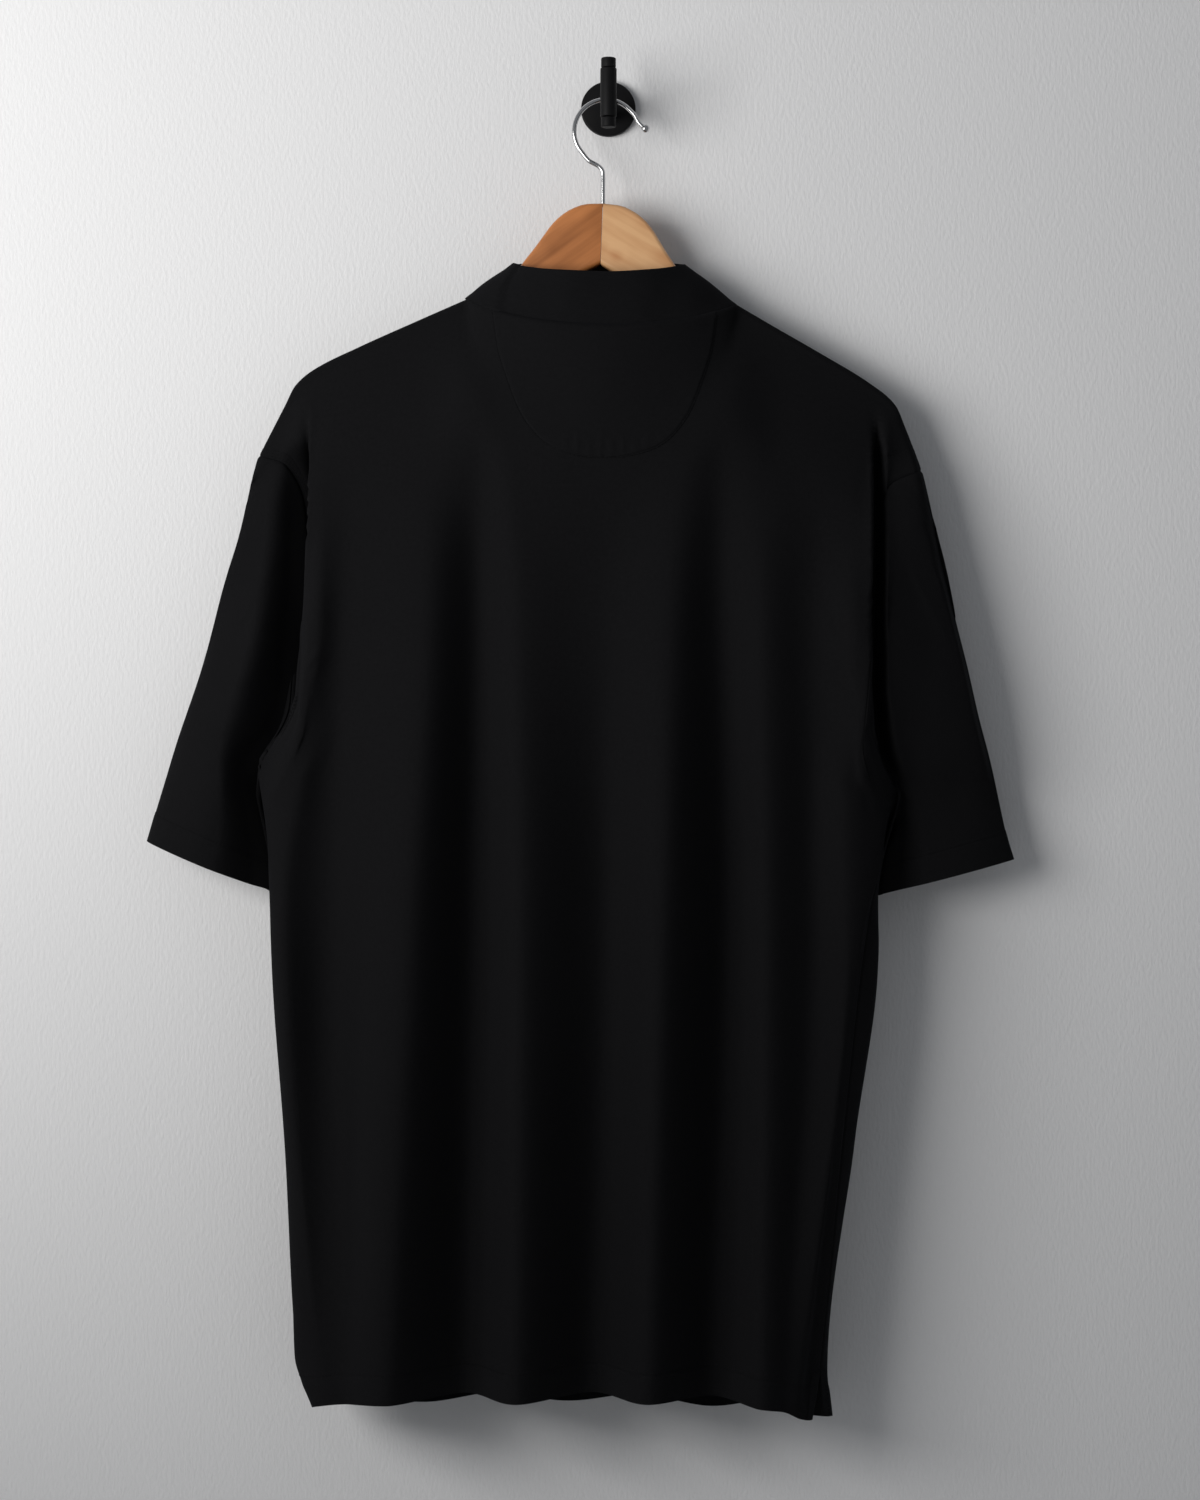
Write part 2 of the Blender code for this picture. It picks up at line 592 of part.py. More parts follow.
def add_sleeve(collection, name, back, front, rings, finish):
    on_left = rings[0].outer_x < 0
    around, follows = armhole(back, front, on_left)
    half = sum(share >= PIT_SHARE for share in PANEL_ROWS) - 1
    shares = shares_around([seam for seam, _, _ in around], half)
    hoops = [sleeve_ring(ring, shares) for ring in rings]
    knots = [-SLEEVE_BEYOND, 0.0, SLEEVE_BEYOND] + [ring.down for ring in rings]
    for (seam, _, _), share in zip(around, shares):
        near_pit = smooth_step(PIT_ROOM_REACH, 0.0, abs(share - 0.5))
        seam.x += math.copysign(PIT_ROOM, rings[0].outer_x) * near_pit
    grid = []
    for step in SLEEVE_STEPS:
        row = []
        for i, (seam, ridge, beyond) in enumerate(around):
            down = SLEEVE_TRIM + step * (1 - SLEEVE_TRIM)
            straight = seam.lerp(hoops[0][i], SLEEVE_BEYOND / rings[0].down)
            beyond = Vector((beyond.x, beyond.y, straight.z))
            before = (2 * seam - straight).lerp(ridge, follows[i])
            path = [before, seam, straight.lerp(beyond, follows[i])] + [hoop[i] for hoop in hoops]
            row.append(Vector([eased(knots, [p[axis] for p in path], down) for axis in range(3)]))
        grid.append(row)
    mesh = sheet_mesh(name, grid, closed_across=True, face_out=not on_left)
    made = add_object(collection, name, mesh, finish)
    add_wall(made, PANEL_WALL)


# ---- the hanger ----

def hanger_outline():
    points = [(HALF_GAP / 2, 0.0)]
    points += [(row.out, row.down) for row in HANGER_UPPER]
    centre_x = HANGER_TIP.out
    centre_down = HANGER_TIP.down
    for degrees in TIP_TURNS:
        angle = math.radians(degrees)
        across = centre_x + TIP_RADIUS * math.cos(angle)
        points.append((across, centre_down + TIP_RADIUS * math.sin(angle)))
    points += [(row.out, row.down) for row in HANGER_LOWER[:-1]]
    points.append((HALF_GAP / 2, HANGER_LOWER[-1].down))
    return points


def add_hanger(collection, finish_left, finish_right):
    hang = bpy.data.objects.new("hanger tilt", None)
    hang.location = (HANGER_TOP[0], HANGER_Y, HANGER_TOP[1])
    hang.rotation_euler = (0.0, HANGER_TILT, 0.0)
    collection.objects.link(hang)
    for name, side, finish in (("hanger_left", -1, finish_left), ("hanger_right", 1, finish_right)):
        shape = bmesh.new()
        front = [shape.verts.new((side * x, -HANGER_WOOD / 2, -down)) for x, down in hanger_outline()]
        face = shape.faces.new(front if side > 0 else reversed(front))
        pulled = bmesh.ops.extrude_face_region(shape, geom=[face])
        moved = [item for item in pulled["geom"] if isinstance(item, bmesh.types.BMVert)]
        bmesh.ops.translate(shape, verts=moved, vec=(0.0, HANGER_WOOD, 0.0))
        bmesh.ops.recalc_face_normals(shape, faces=shape.faces)
        mesh = bpy.data.meshes.new(name)
        shape.to_mesh(mesh)
        shape.free()
        half = add_object(collection, name, mesh, finish)
        half.parent = hang
        rounding = half.modifiers.new("rounding", "BEVEL")
        rounding.width = HANGER_ROUNDING
        rounding.segments = 2
        rounding.limit_method = "ANGLE"
        rounding.angle_limit = SHARP_ANGLE


def hook_route():
    """The wire's middle line, from the ball over the top and down the shank."""
    points = [Vector((row.x, HANGER_Y, row.z)) for row in HOOK_TIP]
    for step in range(HOOK_STEPS + 1):
        angle = HOOK_START + (HOOK_END - HOOK_START) * step / HOOK_STEPS
        x = HOOK_CENTRE[0] + HOOK_RADIUS * math.cos(angle)
        z = HOOK_CENTRE[1] + HOOK_RADIUS * math.sin(angle)
        points.append(Vector((x, HANGER_Y, z)))
    points += [Vector((row.x, HANGER_Y, row.z)) for row in HOOK_FOOT]
    points.append(Vector((SHANK_X, HANGER_Y, SHANK_TOP)))
    points.append(Vector((SHANK_X, HANGER_Y, SHANK_BOTTOM)))
    return points


def curve_mesh(curve):
    made = bpy.data.objects.new("guide", curve)
    bpy.context.scene.collection.objects.link(made)
    ready = made.evaluated_get(bpy.context.evaluated_depsgraph_get())
    mesh = bpy.data.meshes.new_from_object(ready)
    bpy.data.objects.remove(made, do_unlink=True)
    shape = bmesh.new()
    shape.from_mesh(mesh)
    bmesh.ops.remove_doubles(shape, verts=shape.verts, dist=0.00001)
    shape.to_mesh(mesh)
    shape.free()
    return mesh


def add_hook(collection, finish):
    curve = bpy.data.curves.new("hanger_hook", "CURVE")
    curve.dimensions = "3D"
    curve.bevel_depth = WIRE_RADIUS
    curve.bevel_resolution = 2
    curve.use_fill_caps = True
    spline = curve.splines.new("POLY")
    route = hook_route()
    spline.points.add(len(route) - 1)
    for point, place in zip(spline.points, route):
        point.co = (*place, 1.0)
    wire = add_object(collection, "hanger_hook", curve_mesh(curve), finish)
    ball_shape = bmesh.new()
    bmesh.ops.create_uvsphere(ball_shape, u_segments=16, v_segments=8, radius=BALL_RADIUS)
    bmesh.ops.translate(ball_shape, verts=ball_shape.verts, vec=route[0])
    ball_mesh = bpy.data.meshes.new("ball")
    ball_shape.to_mesh(ball_mesh)
    ball_shape.free()
    ball = bpy.data.objects.new("ball", ball_mesh)
    ball.hide_render = True
    ball.display_type = "WIRE"
    helpers = bpy.data.collections.new("joined shapes")
    bpy.context.scene.collection.children.link(helpers)
    helpers.objects.link(ball)
    join = wire.modifiers.new("ball", "BOOLEAN")
    join.operation = "UNION"
    join.object = ball


# ---- the wall hook ----

def add_round(collection, name, radius, length, location, upright, rounding, finish):
    shape = bmesh.new()
    bmesh.ops.create_cone(shape, cap_ends=True, segments=ROUND_SIDES, radius1=radius, radius2=radius,
                          depth=length)
    mesh = bpy.data.meshes.new(name)
    shape.to_mesh(mesh)
    shape.free()
    made = add_object(collection, name, mesh, finish)
    made.location = location
    made.rotation_euler = (0.0, 0.0, 0.0) if upright else (math.pi / 2, 0.0, 0.0)
    if rounding:
        edge = made.modifiers.new("rounding", "BEVEL")
        edge.width = rounding
        edge.segments = 2
        edge.limit_method = "ANGLE"
        edge.angle_limit = SHARP_ANGLE
    return made


def add_wall_hook(collection, finish):
    add_round(collection, "wall_plate", PLATE_RADIUS, PLATE_THICKNESS, (0.0, -PLATE_THICKNESS / 2, 0.0),
              False, PLATE_ROUNDING, finish)
    near = -PLATE_THICKNESS - SEAM_GAP
    far = BAR_Y + BAR_RADIUS + SEAM_GAP
    add_round(collection, "wall_stem", STEM_RADIUS, near - far, (0.0, (near + far) / 2, STEM_Z), False,
              0.0, finish)
    add_round(collection, "wall_bar", BAR_RADIUS, BAR_LENGTH, (0.0, BAR_Y, BAR_Z), True, BAR_ROUNDING,
              finish)
    for name, side in (("bar_cap_top", 1), ("bar_cap_bottom", -1)):
        z = BAR_Z + side * (BAR_LENGTH / 2 + SEAM_GAP + CAP_LENGTH / 2)
        add_round(collection, name, CAP_RADIUS, CAP_LENGTH, (0.0, BAR_Y, z), True, BAR_ROUNDING, finish)


def main():
    collection = clear_scene()
    knit = material("black jersey", (0.012, 0.012, 0.013), 0.85)
    honey_wood = material("honey wood", (0.44, 0.22, 0.09), 0.45)
    pale_wood = material("pale wood", (0.52, 0.30, 0.14), 0.45)
    chrome = material("chrome", (0.80, 0.80, 0.80), 0.12, 1.0)
    matt_black = material("matt black", (0.015, 0.015, 0.016), 0.55)

    back = Panel(BACK_LEFT, BACK_RIGHT, BACK_FOLDS, True)
    front = Panel(FRONT_LEFT, FRONT_RIGHT, FRONT_FOLDS, False)
    add_panel(collection, "back_panel", back, knit)
    add_panel(collection, "front_panel", front, knit)
    add_patch(collection, back, knit)
    add_collar(collection, back, front, knit)
    add_sleeve(collection, "left_sleeve", back, front, LEFT_SLEEVE, knit)
    add_sleeve(collection, "right_sleeve", back, front, RIGHT_SLEEVE, knit)
    add_hanger(collection, honey_wood, pale_wood)
    add_hook(collection, chrome)
    add_wall_hook(collection, matt_black)


main()
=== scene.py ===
import math

import bmesh
import bpy
import numpy as np
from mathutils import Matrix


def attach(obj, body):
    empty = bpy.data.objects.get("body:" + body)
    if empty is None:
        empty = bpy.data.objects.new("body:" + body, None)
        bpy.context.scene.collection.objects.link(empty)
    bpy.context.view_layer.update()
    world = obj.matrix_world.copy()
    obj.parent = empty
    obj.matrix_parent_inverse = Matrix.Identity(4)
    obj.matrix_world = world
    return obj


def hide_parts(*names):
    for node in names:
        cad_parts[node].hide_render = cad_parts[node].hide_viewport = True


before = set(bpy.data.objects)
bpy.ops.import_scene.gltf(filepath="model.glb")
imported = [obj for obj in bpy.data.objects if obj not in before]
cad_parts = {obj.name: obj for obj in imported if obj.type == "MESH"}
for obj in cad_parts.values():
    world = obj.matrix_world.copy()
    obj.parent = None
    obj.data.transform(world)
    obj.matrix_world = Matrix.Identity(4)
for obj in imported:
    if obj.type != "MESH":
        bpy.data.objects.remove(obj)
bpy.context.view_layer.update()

scene = bpy.context.scene
body = "root"
print("frame loaded")

shot = {"place": (-0.0063, -2.3, -0.4862), "lens": 72.65, "sensor": 36.0}
bpy.ops.object.camera_add(location=shot["place"], rotation=(math.pi / 2, 0, 0))
camera = bpy.context.object
camera.data.lens = shot["lens"]
camera.data.sensor_width = shot["sensor"]
scene.camera = camera
scene.view_settings.view_transform = "Standard"

windowLight = {"place": (-1.15, -1.25, -0.15), "aim": (0.0, -0.05, 0.95), "across": 1.15, "up": 1.0,
               "power": 27.5, "colour": (1.0, 0.988, 0.972)}
lampWay = np.array(windowLight["aim"]) - np.array(windowLight["place"])
lampTip = math.atan2(lampWay[2], math.hypot(lampWay[0], lampWay[1])) + math.pi / 2
lampTurn = math.atan2(lampWay[1], lampWay[0]) - math.pi / 2
bpy.ops.object.light_add(type="AREA", location=windowLight["place"], rotation=(lampTip, 0.0, lampTurn))
lamp = bpy.context.object
lamp.name = "windowLeft"
lamp.data.shape = "RECTANGLE"
lamp.data.size = windowLight["across"]
lamp.data.size_y = windowLight["up"]
lamp.data.energy = windowLight["power"]
lamp.data.color = windowLight["colour"]

air = {"colour": (0.92, 0.95, 1.0, 1.0), "strength": 0.205}
roomAir = bpy.data.worlds.new("room air")
roomAir.use_nodes = True
background = roomAir.node_tree.nodes["Background"]
background.inputs["Color"].default_value = air["colour"]
background.inputs["Strength"].default_value = air["strength"]
scene.world = roomAir
print("camera and light placed")


def feed(tree, node, values):
    # another node's output is linked, and any other value is set
    for label, value in values.items():
        if isinstance(value, bpy.types.NodeSocket):
            tree.links.new(value, node.inputs[label])
        else:
            node.inputs[label].default_value = value


def newNode(tree, kind, values, **settings):
    node = tree.nodes.new("ShaderNode" + kind)
    for label, value in settings.items():
        setattr(node, label, value)
    feed(tree, node, values)
    return node


def newGroup(name, inputs, outputs):
    group = bpy.data.node_groups.new(name, "ShaderNodeTree")
    for label, kind, value in inputs:
        socket = group.interface.new_socket(label, in_out="INPUT", socket_type="NodeSocket" + kind)
        if value is not None:
            socket.default_value = value
    for label, kind in outputs:
        group.interface.new_socket(label, in_out="OUTPUT", socket_type="NodeSocket" + kind)
    return group, group.nodes.new("NodeGroupInput"), group.nodes.new("NodeGroupOutput")


def maths(tree, operation, *values):
    return newNode(tree, "Math", dict(enumerate(values)), operation=operation).outputs[0]


def fromHalf(tree, value):
    # how far the value's fraction lies from one half
    return maths(tree, "ABSOLUTE", maths(tree, "SUBTRACT", maths(tree, "FRACT", value), 0.5))


def noiseOn(tree, vector, scale, detail):
    return newNode(tree, "TexNoise", {"Scale": scale, "Detail": detail, "Vector": vector}).outputs["Fac"]


def mixColour(tree, share, first, second):
    # on colours, the node's inputs are the share at 0 and the two colours at 6 and 7
    return newNode(tree, "Mix", {0: share, 6: first, 7: second}, data_type="RGBA").outputs[2]


def bumpFrom(tree, height, strength, distance):
    bump = newNode(tree, "Bump", {"Strength": strength, "Distance": distance, "Height": height})
    return bump.outputs[0]


def newMaterial(name, roughness, metallic=0.0):
    made = bpy.data.materials.new(name)
    made.use_nodes = True
    shader = made.node_tree.nodes["Principled BSDF"]
    feed(made.node_tree, shader, {"Roughness": roughness, "Metallic": metallic})
    return made, made.node_tree, shader


jersey = {"dark": (0.0055, 0.0055, 0.006, 1), "pale": (0.0099, 0.0099, 0.0107, 1), "roughness": 0.92,
          "specular": 0.03, "sheen": 0.012, "sheenRoughness": 0.42, "sheenTint": (0.75, 0.8, 1.0, 1.0),
          "wales": 900.0, "courses": 1170.0, "slant": 1.6, "legSlope": 4.0, "legBlend": 0.4,
          "mottleScale": 380.0, "mottleDetail": 5.0, "bump": 0.28, "bumpHeight": 0.0003}


def buildKnit():
    # each loop shows as two slanted legs, so the rows of a wale make small chevrons
    group, start, end = newGroup(
        "jersey knit",
        [("Vector", "Vector", None), ("Wales", "Float", jersey["wales"]),
         ("Courses", "Float", jersey["courses"])],
        [("Height", "Float"), ("Mottle", "Float")])
    split = newNode(group, "SeparateXYZ", {0: start.outputs["Vector"]})
    across = maths(group, "MULTIPLY", split.outputs[0], start.outputs["Wales"])
    up = maths(group, "MULTIPLY", split.outputs[1], start.outputs["Courses"])
    leg = fromHalf(group, across)
    rib = fromHalf(group, maths(group, "ADD", up, maths(group, "MULTIPLY", leg, jersey["slant"])))
    toMiddle = maths(group, "MULTIPLY", leg, jersey["legSlope"])
    toSide = maths(group, "MULTIPLY", maths(group, "SUBTRACT", 0.5, leg), jersey["legSlope"])
    furrow = maths(group, "SMOOTH_MIN", toMiddle, toSide, jersey["legBlend"])
    height = maths(group, "MULTIPLY", maths(group, "SUBTRACT", 1.0, rib), furrow)
    mottle = noiseOn(group, start.outputs["Vector"], jersey["mottleScale"], jersey["mottleDetail"])
    feed(group, end, {"Height": height, "Mottle": mottle})
    return group


def buildJersey():
    made, tree, shader = newMaterial("black jersey", jersey["roughness"])
    pattern = newNode(tree, "UVMap", {}, uv_map="cloth").outputs[0]
    knit = newNode(tree, "Group", {"Wales": jersey["wales"], "Courses": jersey["courses"], "Vector": pattern},
                   node_tree=buildKnit())
    feed(tree, shader, {
        "Specular IOR Level": jersey["specular"], "Sheen Weight": jersey["sheen"],
        "Sheen Roughness": jersey["sheenRoughness"], "Sheen Tint": jersey["sheenTint"],
        "Base Color": mixColour(tree, knit.outputs["Mottle"], jersey["dark"], jersey["pale"]),
        "Normal": bumpFrom(tree, knit.outputs["Height"], jersey["bump"], jersey["bumpHeight"])})
    return made


grain = {"stretch": (1.0, 1.0, 0.07), "rings": 95.0, "ringDetail": 4.0, "ringShare": 1.15,
         "pores": 900.0, "poreDetail": 2.0, "wander": 26.0, "wanderDetail": 2.0, "wanderShare": 0.55,
         "darkBelow": 0.58, "paleAbove": 1.04, "knotShare": 0.35, "knotRadius": 0.009,
         "roughness": 0.36, "coat": 0.25, "coatRoughness": 0.2, "bump": 0.12, "bumpHeight": 0.0002}


def buildGrain():
    # long streaks along Z, bent by slow noise, with fine pores
    group, start, end = newGroup(
        "wood grain",
        [("Vector", "Vector", None), ("Dark", "Color", None), ("Pale", "Color", None),
         ("Knot", "Float", 0.0)],
        [("Colour", "Color"), ("Pores", "Float")])
    vector = start.outputs["Vector"]
    stretched = newNode(group, "Mapping", {"Scale": grain["stretch"], "Vector": vector}).outputs[0]
    rings = noiseOn(group, stretched, grain["rings"], grain["ringDetail"])
    pores = noiseOn(group, stretched, grain["pores"], grain["poreDetail"])
    wander = noiseOn(group, vector, grain["wander"], grain["wanderDetail"])
    blend = maths(group, "ADD", maths(group, "MULTIPLY", rings, grain["ringShare"]),
                  maths(group, "MULTIPLY", wander, grain["wanderShare"]))
    knotted = maths(group, "MULTIPLY", start.outputs["Knot"], grain["knotShare"])
    ramp = newNode(group, "MapRange", {"From Min": grain["darkBelow"], "From Max": grain["paleAbove"],
                                       "Value": maths(group, "SUBTRACT", blend, knotted)})
    colour = mixColour(group, ramp.outputs[0], start.outputs["Dark"], start.outputs["Pale"])
    feed(group, end, {"Colour": colour, "Pores": pores})
    return group


woods = {
    # the amber half shows no knot, so its knot lies far off
    "amber wood": {"dark": (0.3, 0.098, 0.022, 1), "pale": (0.58, 0.215, 0.065, 1),
                   "knot": (-0.6, 0.0, 0.0), "slope": -0.95},
    "pale wood": {"dark": (0.57, 0.255, 0.098, 1), "pale": (0.82, 0.48, 0.235, 1),
                  "knot": (0.006, -0.038, -0.117), "slope": 1.05},
}


def buildWood(name, grainGroup):
    look = woods[name]
    made, tree, shader = newMaterial(name, grain["roughness"])
    place = newNode(tree, "TexCoord", {}).outputs["Object"]
    lean = newNode(tree, "Mapping", {"Rotation": (0.0, look["slope"], 0.0), "Vector": place})
    away = newNode(tree, "VectorMath", {0: place, 1: look["knot"]}, operation="DISTANCE")
    knot = newNode(tree, "MapRange", {"From Min": grain["knotRadius"], "From Max": 0.0,
                                      "Value": away.outputs["Value"]}, interpolation_type="SMOOTHSTEP")
    streaks = newNode(tree, "Group", {"Dark": look["dark"], "Pale": look["pale"], "Knot": knot.outputs[0],
                                      "Vector": lean.outputs[0]}, node_tree=grainGroup)
    feed(tree, shader, {
        "Coat Weight": grain["coat"], "Coat Roughness": grain["coatRoughness"],
        "Base Color": streaks.outputs["Colour"],
        "Normal": bumpFrom(tree, streaks.outputs["Pores"], grain["bump"], grain["bumpHeight"])})
    return made


thread = {"dark": (0.0035, 0.0035, 0.0038, 1), "pale": (0.0075, 0.0075, 0.008, 1), "roughness": 0.85,
          "specular": 0.05, "twist": 5000.0, "twistDetail": 1.0, "bump": 0.3, "bumpHeight": 0.0001}


def buildThread():
    made, tree, shader = newMaterial("black thread", thread["roughness"])
    place = newNode(tree, "TexCoord", {}).outputs["Object"]
    twist = noiseOn(tree, place, thread["twist"], thread["twistDetail"])
    feed(tree, shader, {"Specular IOR Level": thread["specular"],
                        "Base Color": mixColour(tree, twist, thread["dark"], thread["pale"]),
                        "Normal": bumpFrom(tree, twist, thread["bump"], thread["bumpHeight"])})
    return made


metals = {
    "chromed wire": {"colour": (0.6, 0.6, 0.61, 1), "worn": (0.66, 0.66, 0.66, 1), "roughness": 0.13,
                     "metallic": 1.0, "specular": 0.5, "fine": 900.0, "bump": 0.004},
    "matt black metal": {"colour": (0.0045, 0.0045, 0.005, 1), "worn": (0.007, 0.007, 0.0075, 1),
                         "roughness": 0.55, "metallic": 0.0, "specular": 0.12, "fine": 2500.0, "bump": 0.25},
}
metalWear = {"fineDetail": 3.0, "broader": 12, "broadDetail": 2.0, "roughnessSpread": 0.12,
             "bumpHeight": 0.0001}


def buildMetal(name):
    look = metals[name]
    made, tree, shader = newMaterial(name, look["roughness"], look["metallic"])
    place = newNode(tree, "TexCoord", {}).outputs["Object"]
    fine = noiseOn(tree, place, look["fine"], metalWear["fineDetail"])
    broad = noiseOn(tree, place, look["fine"] / metalWear["broader"], metalWear["broadDetail"])
    spread = metalWear["roughnessSpread"]
    feed(tree, shader, {
        "Specular IOR Level": look["specular"],
        "Base Color": mixColour(tree, broad, look["colour"], look["worn"]),
        "Roughness": maths(tree, "MULTIPLY_ADD", broad, spread, look["roughness"] - spread / 2),
        "Normal": bumpFrom(tree, fine, look["bump"], metalWear["bumpHeight"])})
    return made


sharedGrain = buildGrain()
finishes = {
    "jersey": buildJersey(),
    "thread": buildThread(),
    "amberWood": buildWood("amber wood", sharedGrain),
    "paleWood": buildWood("pale wood", sharedGrain),
    "chrome": buildMetal("chromed wire"),
    "mattBlack": buildMetal("matt black metal"),
}
print("finishes made")

room = {"wallHalf": 4.0, "wallGap": 0.0004, "wallTone": (0.84, 0.84, 0.845, 1), "wallRoughness": 0.9,
        "unevenness": 420.0, "unevenDetail": 5.0, "unevenStretch": (1.0, 0.4, 1.0), "bump": 0.38,
        "bumpHeight": 0.0012, "floorZ": -1.75, "floorTone": (0.78, 0.78, 0.77, 1), "floorRoughness": 0.8}


def buildWallPaint():
    # seen from behind, the wall lets the view and the light through
    made, tree, shader = newMaterial("wall paint", room["wallRoughness"])
    place = newNode(tree, "TexCoord", {}).outputs["Object"]
    stretched = newNode(tree, "Mapping", {"Scale": room["unevenStretch"], "Vector": place}).outputs[0]
    uneven = noiseOn(tree, stretched, room["unevenness"], room["unevenDetail"])
    feed(tree, shader, {"Base Color": room["wallTone"],
                        "Normal": bumpFrom(tree, uneven, room["bump"], room["bumpHeight"])})
    either = newNode(tree, "MixShader", {0: newNode(tree, "NewGeometry", {}).outputs["Backfacing"],
                                         1: shader.outputs[0],
                                         2: newNode(tree, "BsdfTransparent", {}).outputs[0]})
    feed(tree, tree.nodes["Material Output"], {"Surface": either.outputs[0]})
    return made


bpy.ops.mesh.primitive_plane_add(size=2 * room["wallHalf"], location=(0, room["wallGap"], 0),
                                 rotation=(math.pi / 2, 0, 0))
wall = bpy.context.object
wall.name = "wall"
wall.data.materials.append(buildWallPaint())
bpy.ops.mesh.primitive_plane_add(size=2 * room["wallHalf"], location=(0, 0, room["floorZ"]))
floor = bpy.context.object
floor.name = "floor"
floorPaint, floorTree, floorShader = newMaterial("floor paint", room["floorRoughness"])
feed(floorTree, floorShader, {"Base Color": room["floorTone"]})
floor.data.materials.append(floorPaint)
print("room made")


def smoothStep(low, high, at):
    t = np.clip((np.asarray(at, float) - low) / (high - low), 0.0, 1.0)
    return t * t * (3 - 2 * t)


def eased(knots, values, at):
    # a smooth curve through knots: values has one row a knot, and further axes go with the places in at
    knots = np.asarray(knots, float)
    values = np.asarray(values, float)
    at = np.atleast_1d(np.asarray(at, float))
    spread = (slice(None),) + (None,) * (values.ndim - 1)
    rises = np.diff(values, axis=0) / np.diff(knots)[spread]
    before, after = rises[:-1], rises[1:]
    sameWay = before * after > 0
    middle = np.where(sameWay, 2 * before * after / np.where(sameWay, before + after, 1.0), 0.0)
    tangents = np.concatenate([rises[:1], middle, rises[-1:]])
    i = np.clip(np.searchsorted(knots, at, side="left") - 1, 0, len(knots) - 2)
    span = knots[i + 1] - knots[i]
    t = np.clip((at - knots[i]) / span, 0.0, 1.0)
    spot = () if values.ndim == 1 else (np.arange(len(at)),)
    here, beyond = (i, *spot), (i + 1, *spot)
    if values.ndim == 3:
        t, span = t[:, None], span[:, None]
    start = (1 + 2 * t) * (1 - t) ** 2 * values[here] + t * (1 - t) ** 2 * span * tangents[here]
    end = t * t * (3 - 2 * t) * values[beyond] + t * t * (t - 1) * span * tangents[beyond]
    return start + end


def unit(vectors):
    return vectors / np.maximum(np.linalg.norm(vectors, axis=-1, keepdims=True), 1e-12)


def lengthsAlong(points, axis):
    steps = np.linalg.norm(np.diff(points, axis=axis), axis=-1)
    zero = np.zeros_like(np.take(steps, [0], axis=axis))
    return np.concatenate([zero, np.cumsum(steps, axis=axis)], axis=axis)


def evenStops(line, count):
    # a smooth line through a few points, at even distances
    gone = lengthsAlong(line, 0)
    stops = np.linspace(0, gone[-1], count)
    return np.stack([eased(gone, line[:, k], stops) for k in range(2)], axis=-1)


# the shirt's measures, as in the part's source
hangerY = -0.036
seamGap = 0.0004
pitRow = 4  # the armpit's row in the side seams
edgeShares = (0.0, 0.045, 0.275, 0.466, 0.582, 0.582, 0.653, 0.717, 0.845, 0.94)
shareOf = {"waist": 0.466, "chest": 0.747, "upper": 0.87}
shoulderTurn = {"share": (0.99, 0.9955, 0.9995, 1.0), "out": (0.0088, 0.008, 0.0048, 0.0)}
neckTurn = {"scale": 0.2, "from": 0.2, "to": 1.0}  # how the turn over the shoulder fades at the neck
topBlend = 0.93  # above this share a panel's points are fitted to its top edge
leftShoulder = {"x": (-0.105, -0.143, -0.186, -0.22, -0.2335, -0.242, -0.261),
                "z": (-0.149, -0.1656, -0.185, -0.202, -0.2135, -0.23, -0.267)}
rightShoulder = {"x": (0.095, 0.121, 0.1575, 0.1956, 0.214, 0.222, 0.234),
                 "z": (-0.153, -0.1683, -0.1893, -0.2125, -0.228, -0.246, -0.278)}
neckSeam = {"mid": -0.005, "half": 0.1, "sidePower": 1.0, "leftZ": -0.149, "rightZ": -0.153,
            "backOut": 0.0415, "backDrop": 0.0225, "frontOut": 0.0275, "frontDrop": 0.015}
collarRim = {"mid": -0.0068, "half": 0.0634, "sidePower": 0.85, "leftZ": -0.1222, "rightZ": -0.1222,
             "backOut": 0.0335, "backDrop": 0.0105, "frontOut": 0.0245, "frontDrop": -0.006}
ringPowers = {"bulge": 1.15, "drop": 1.3}
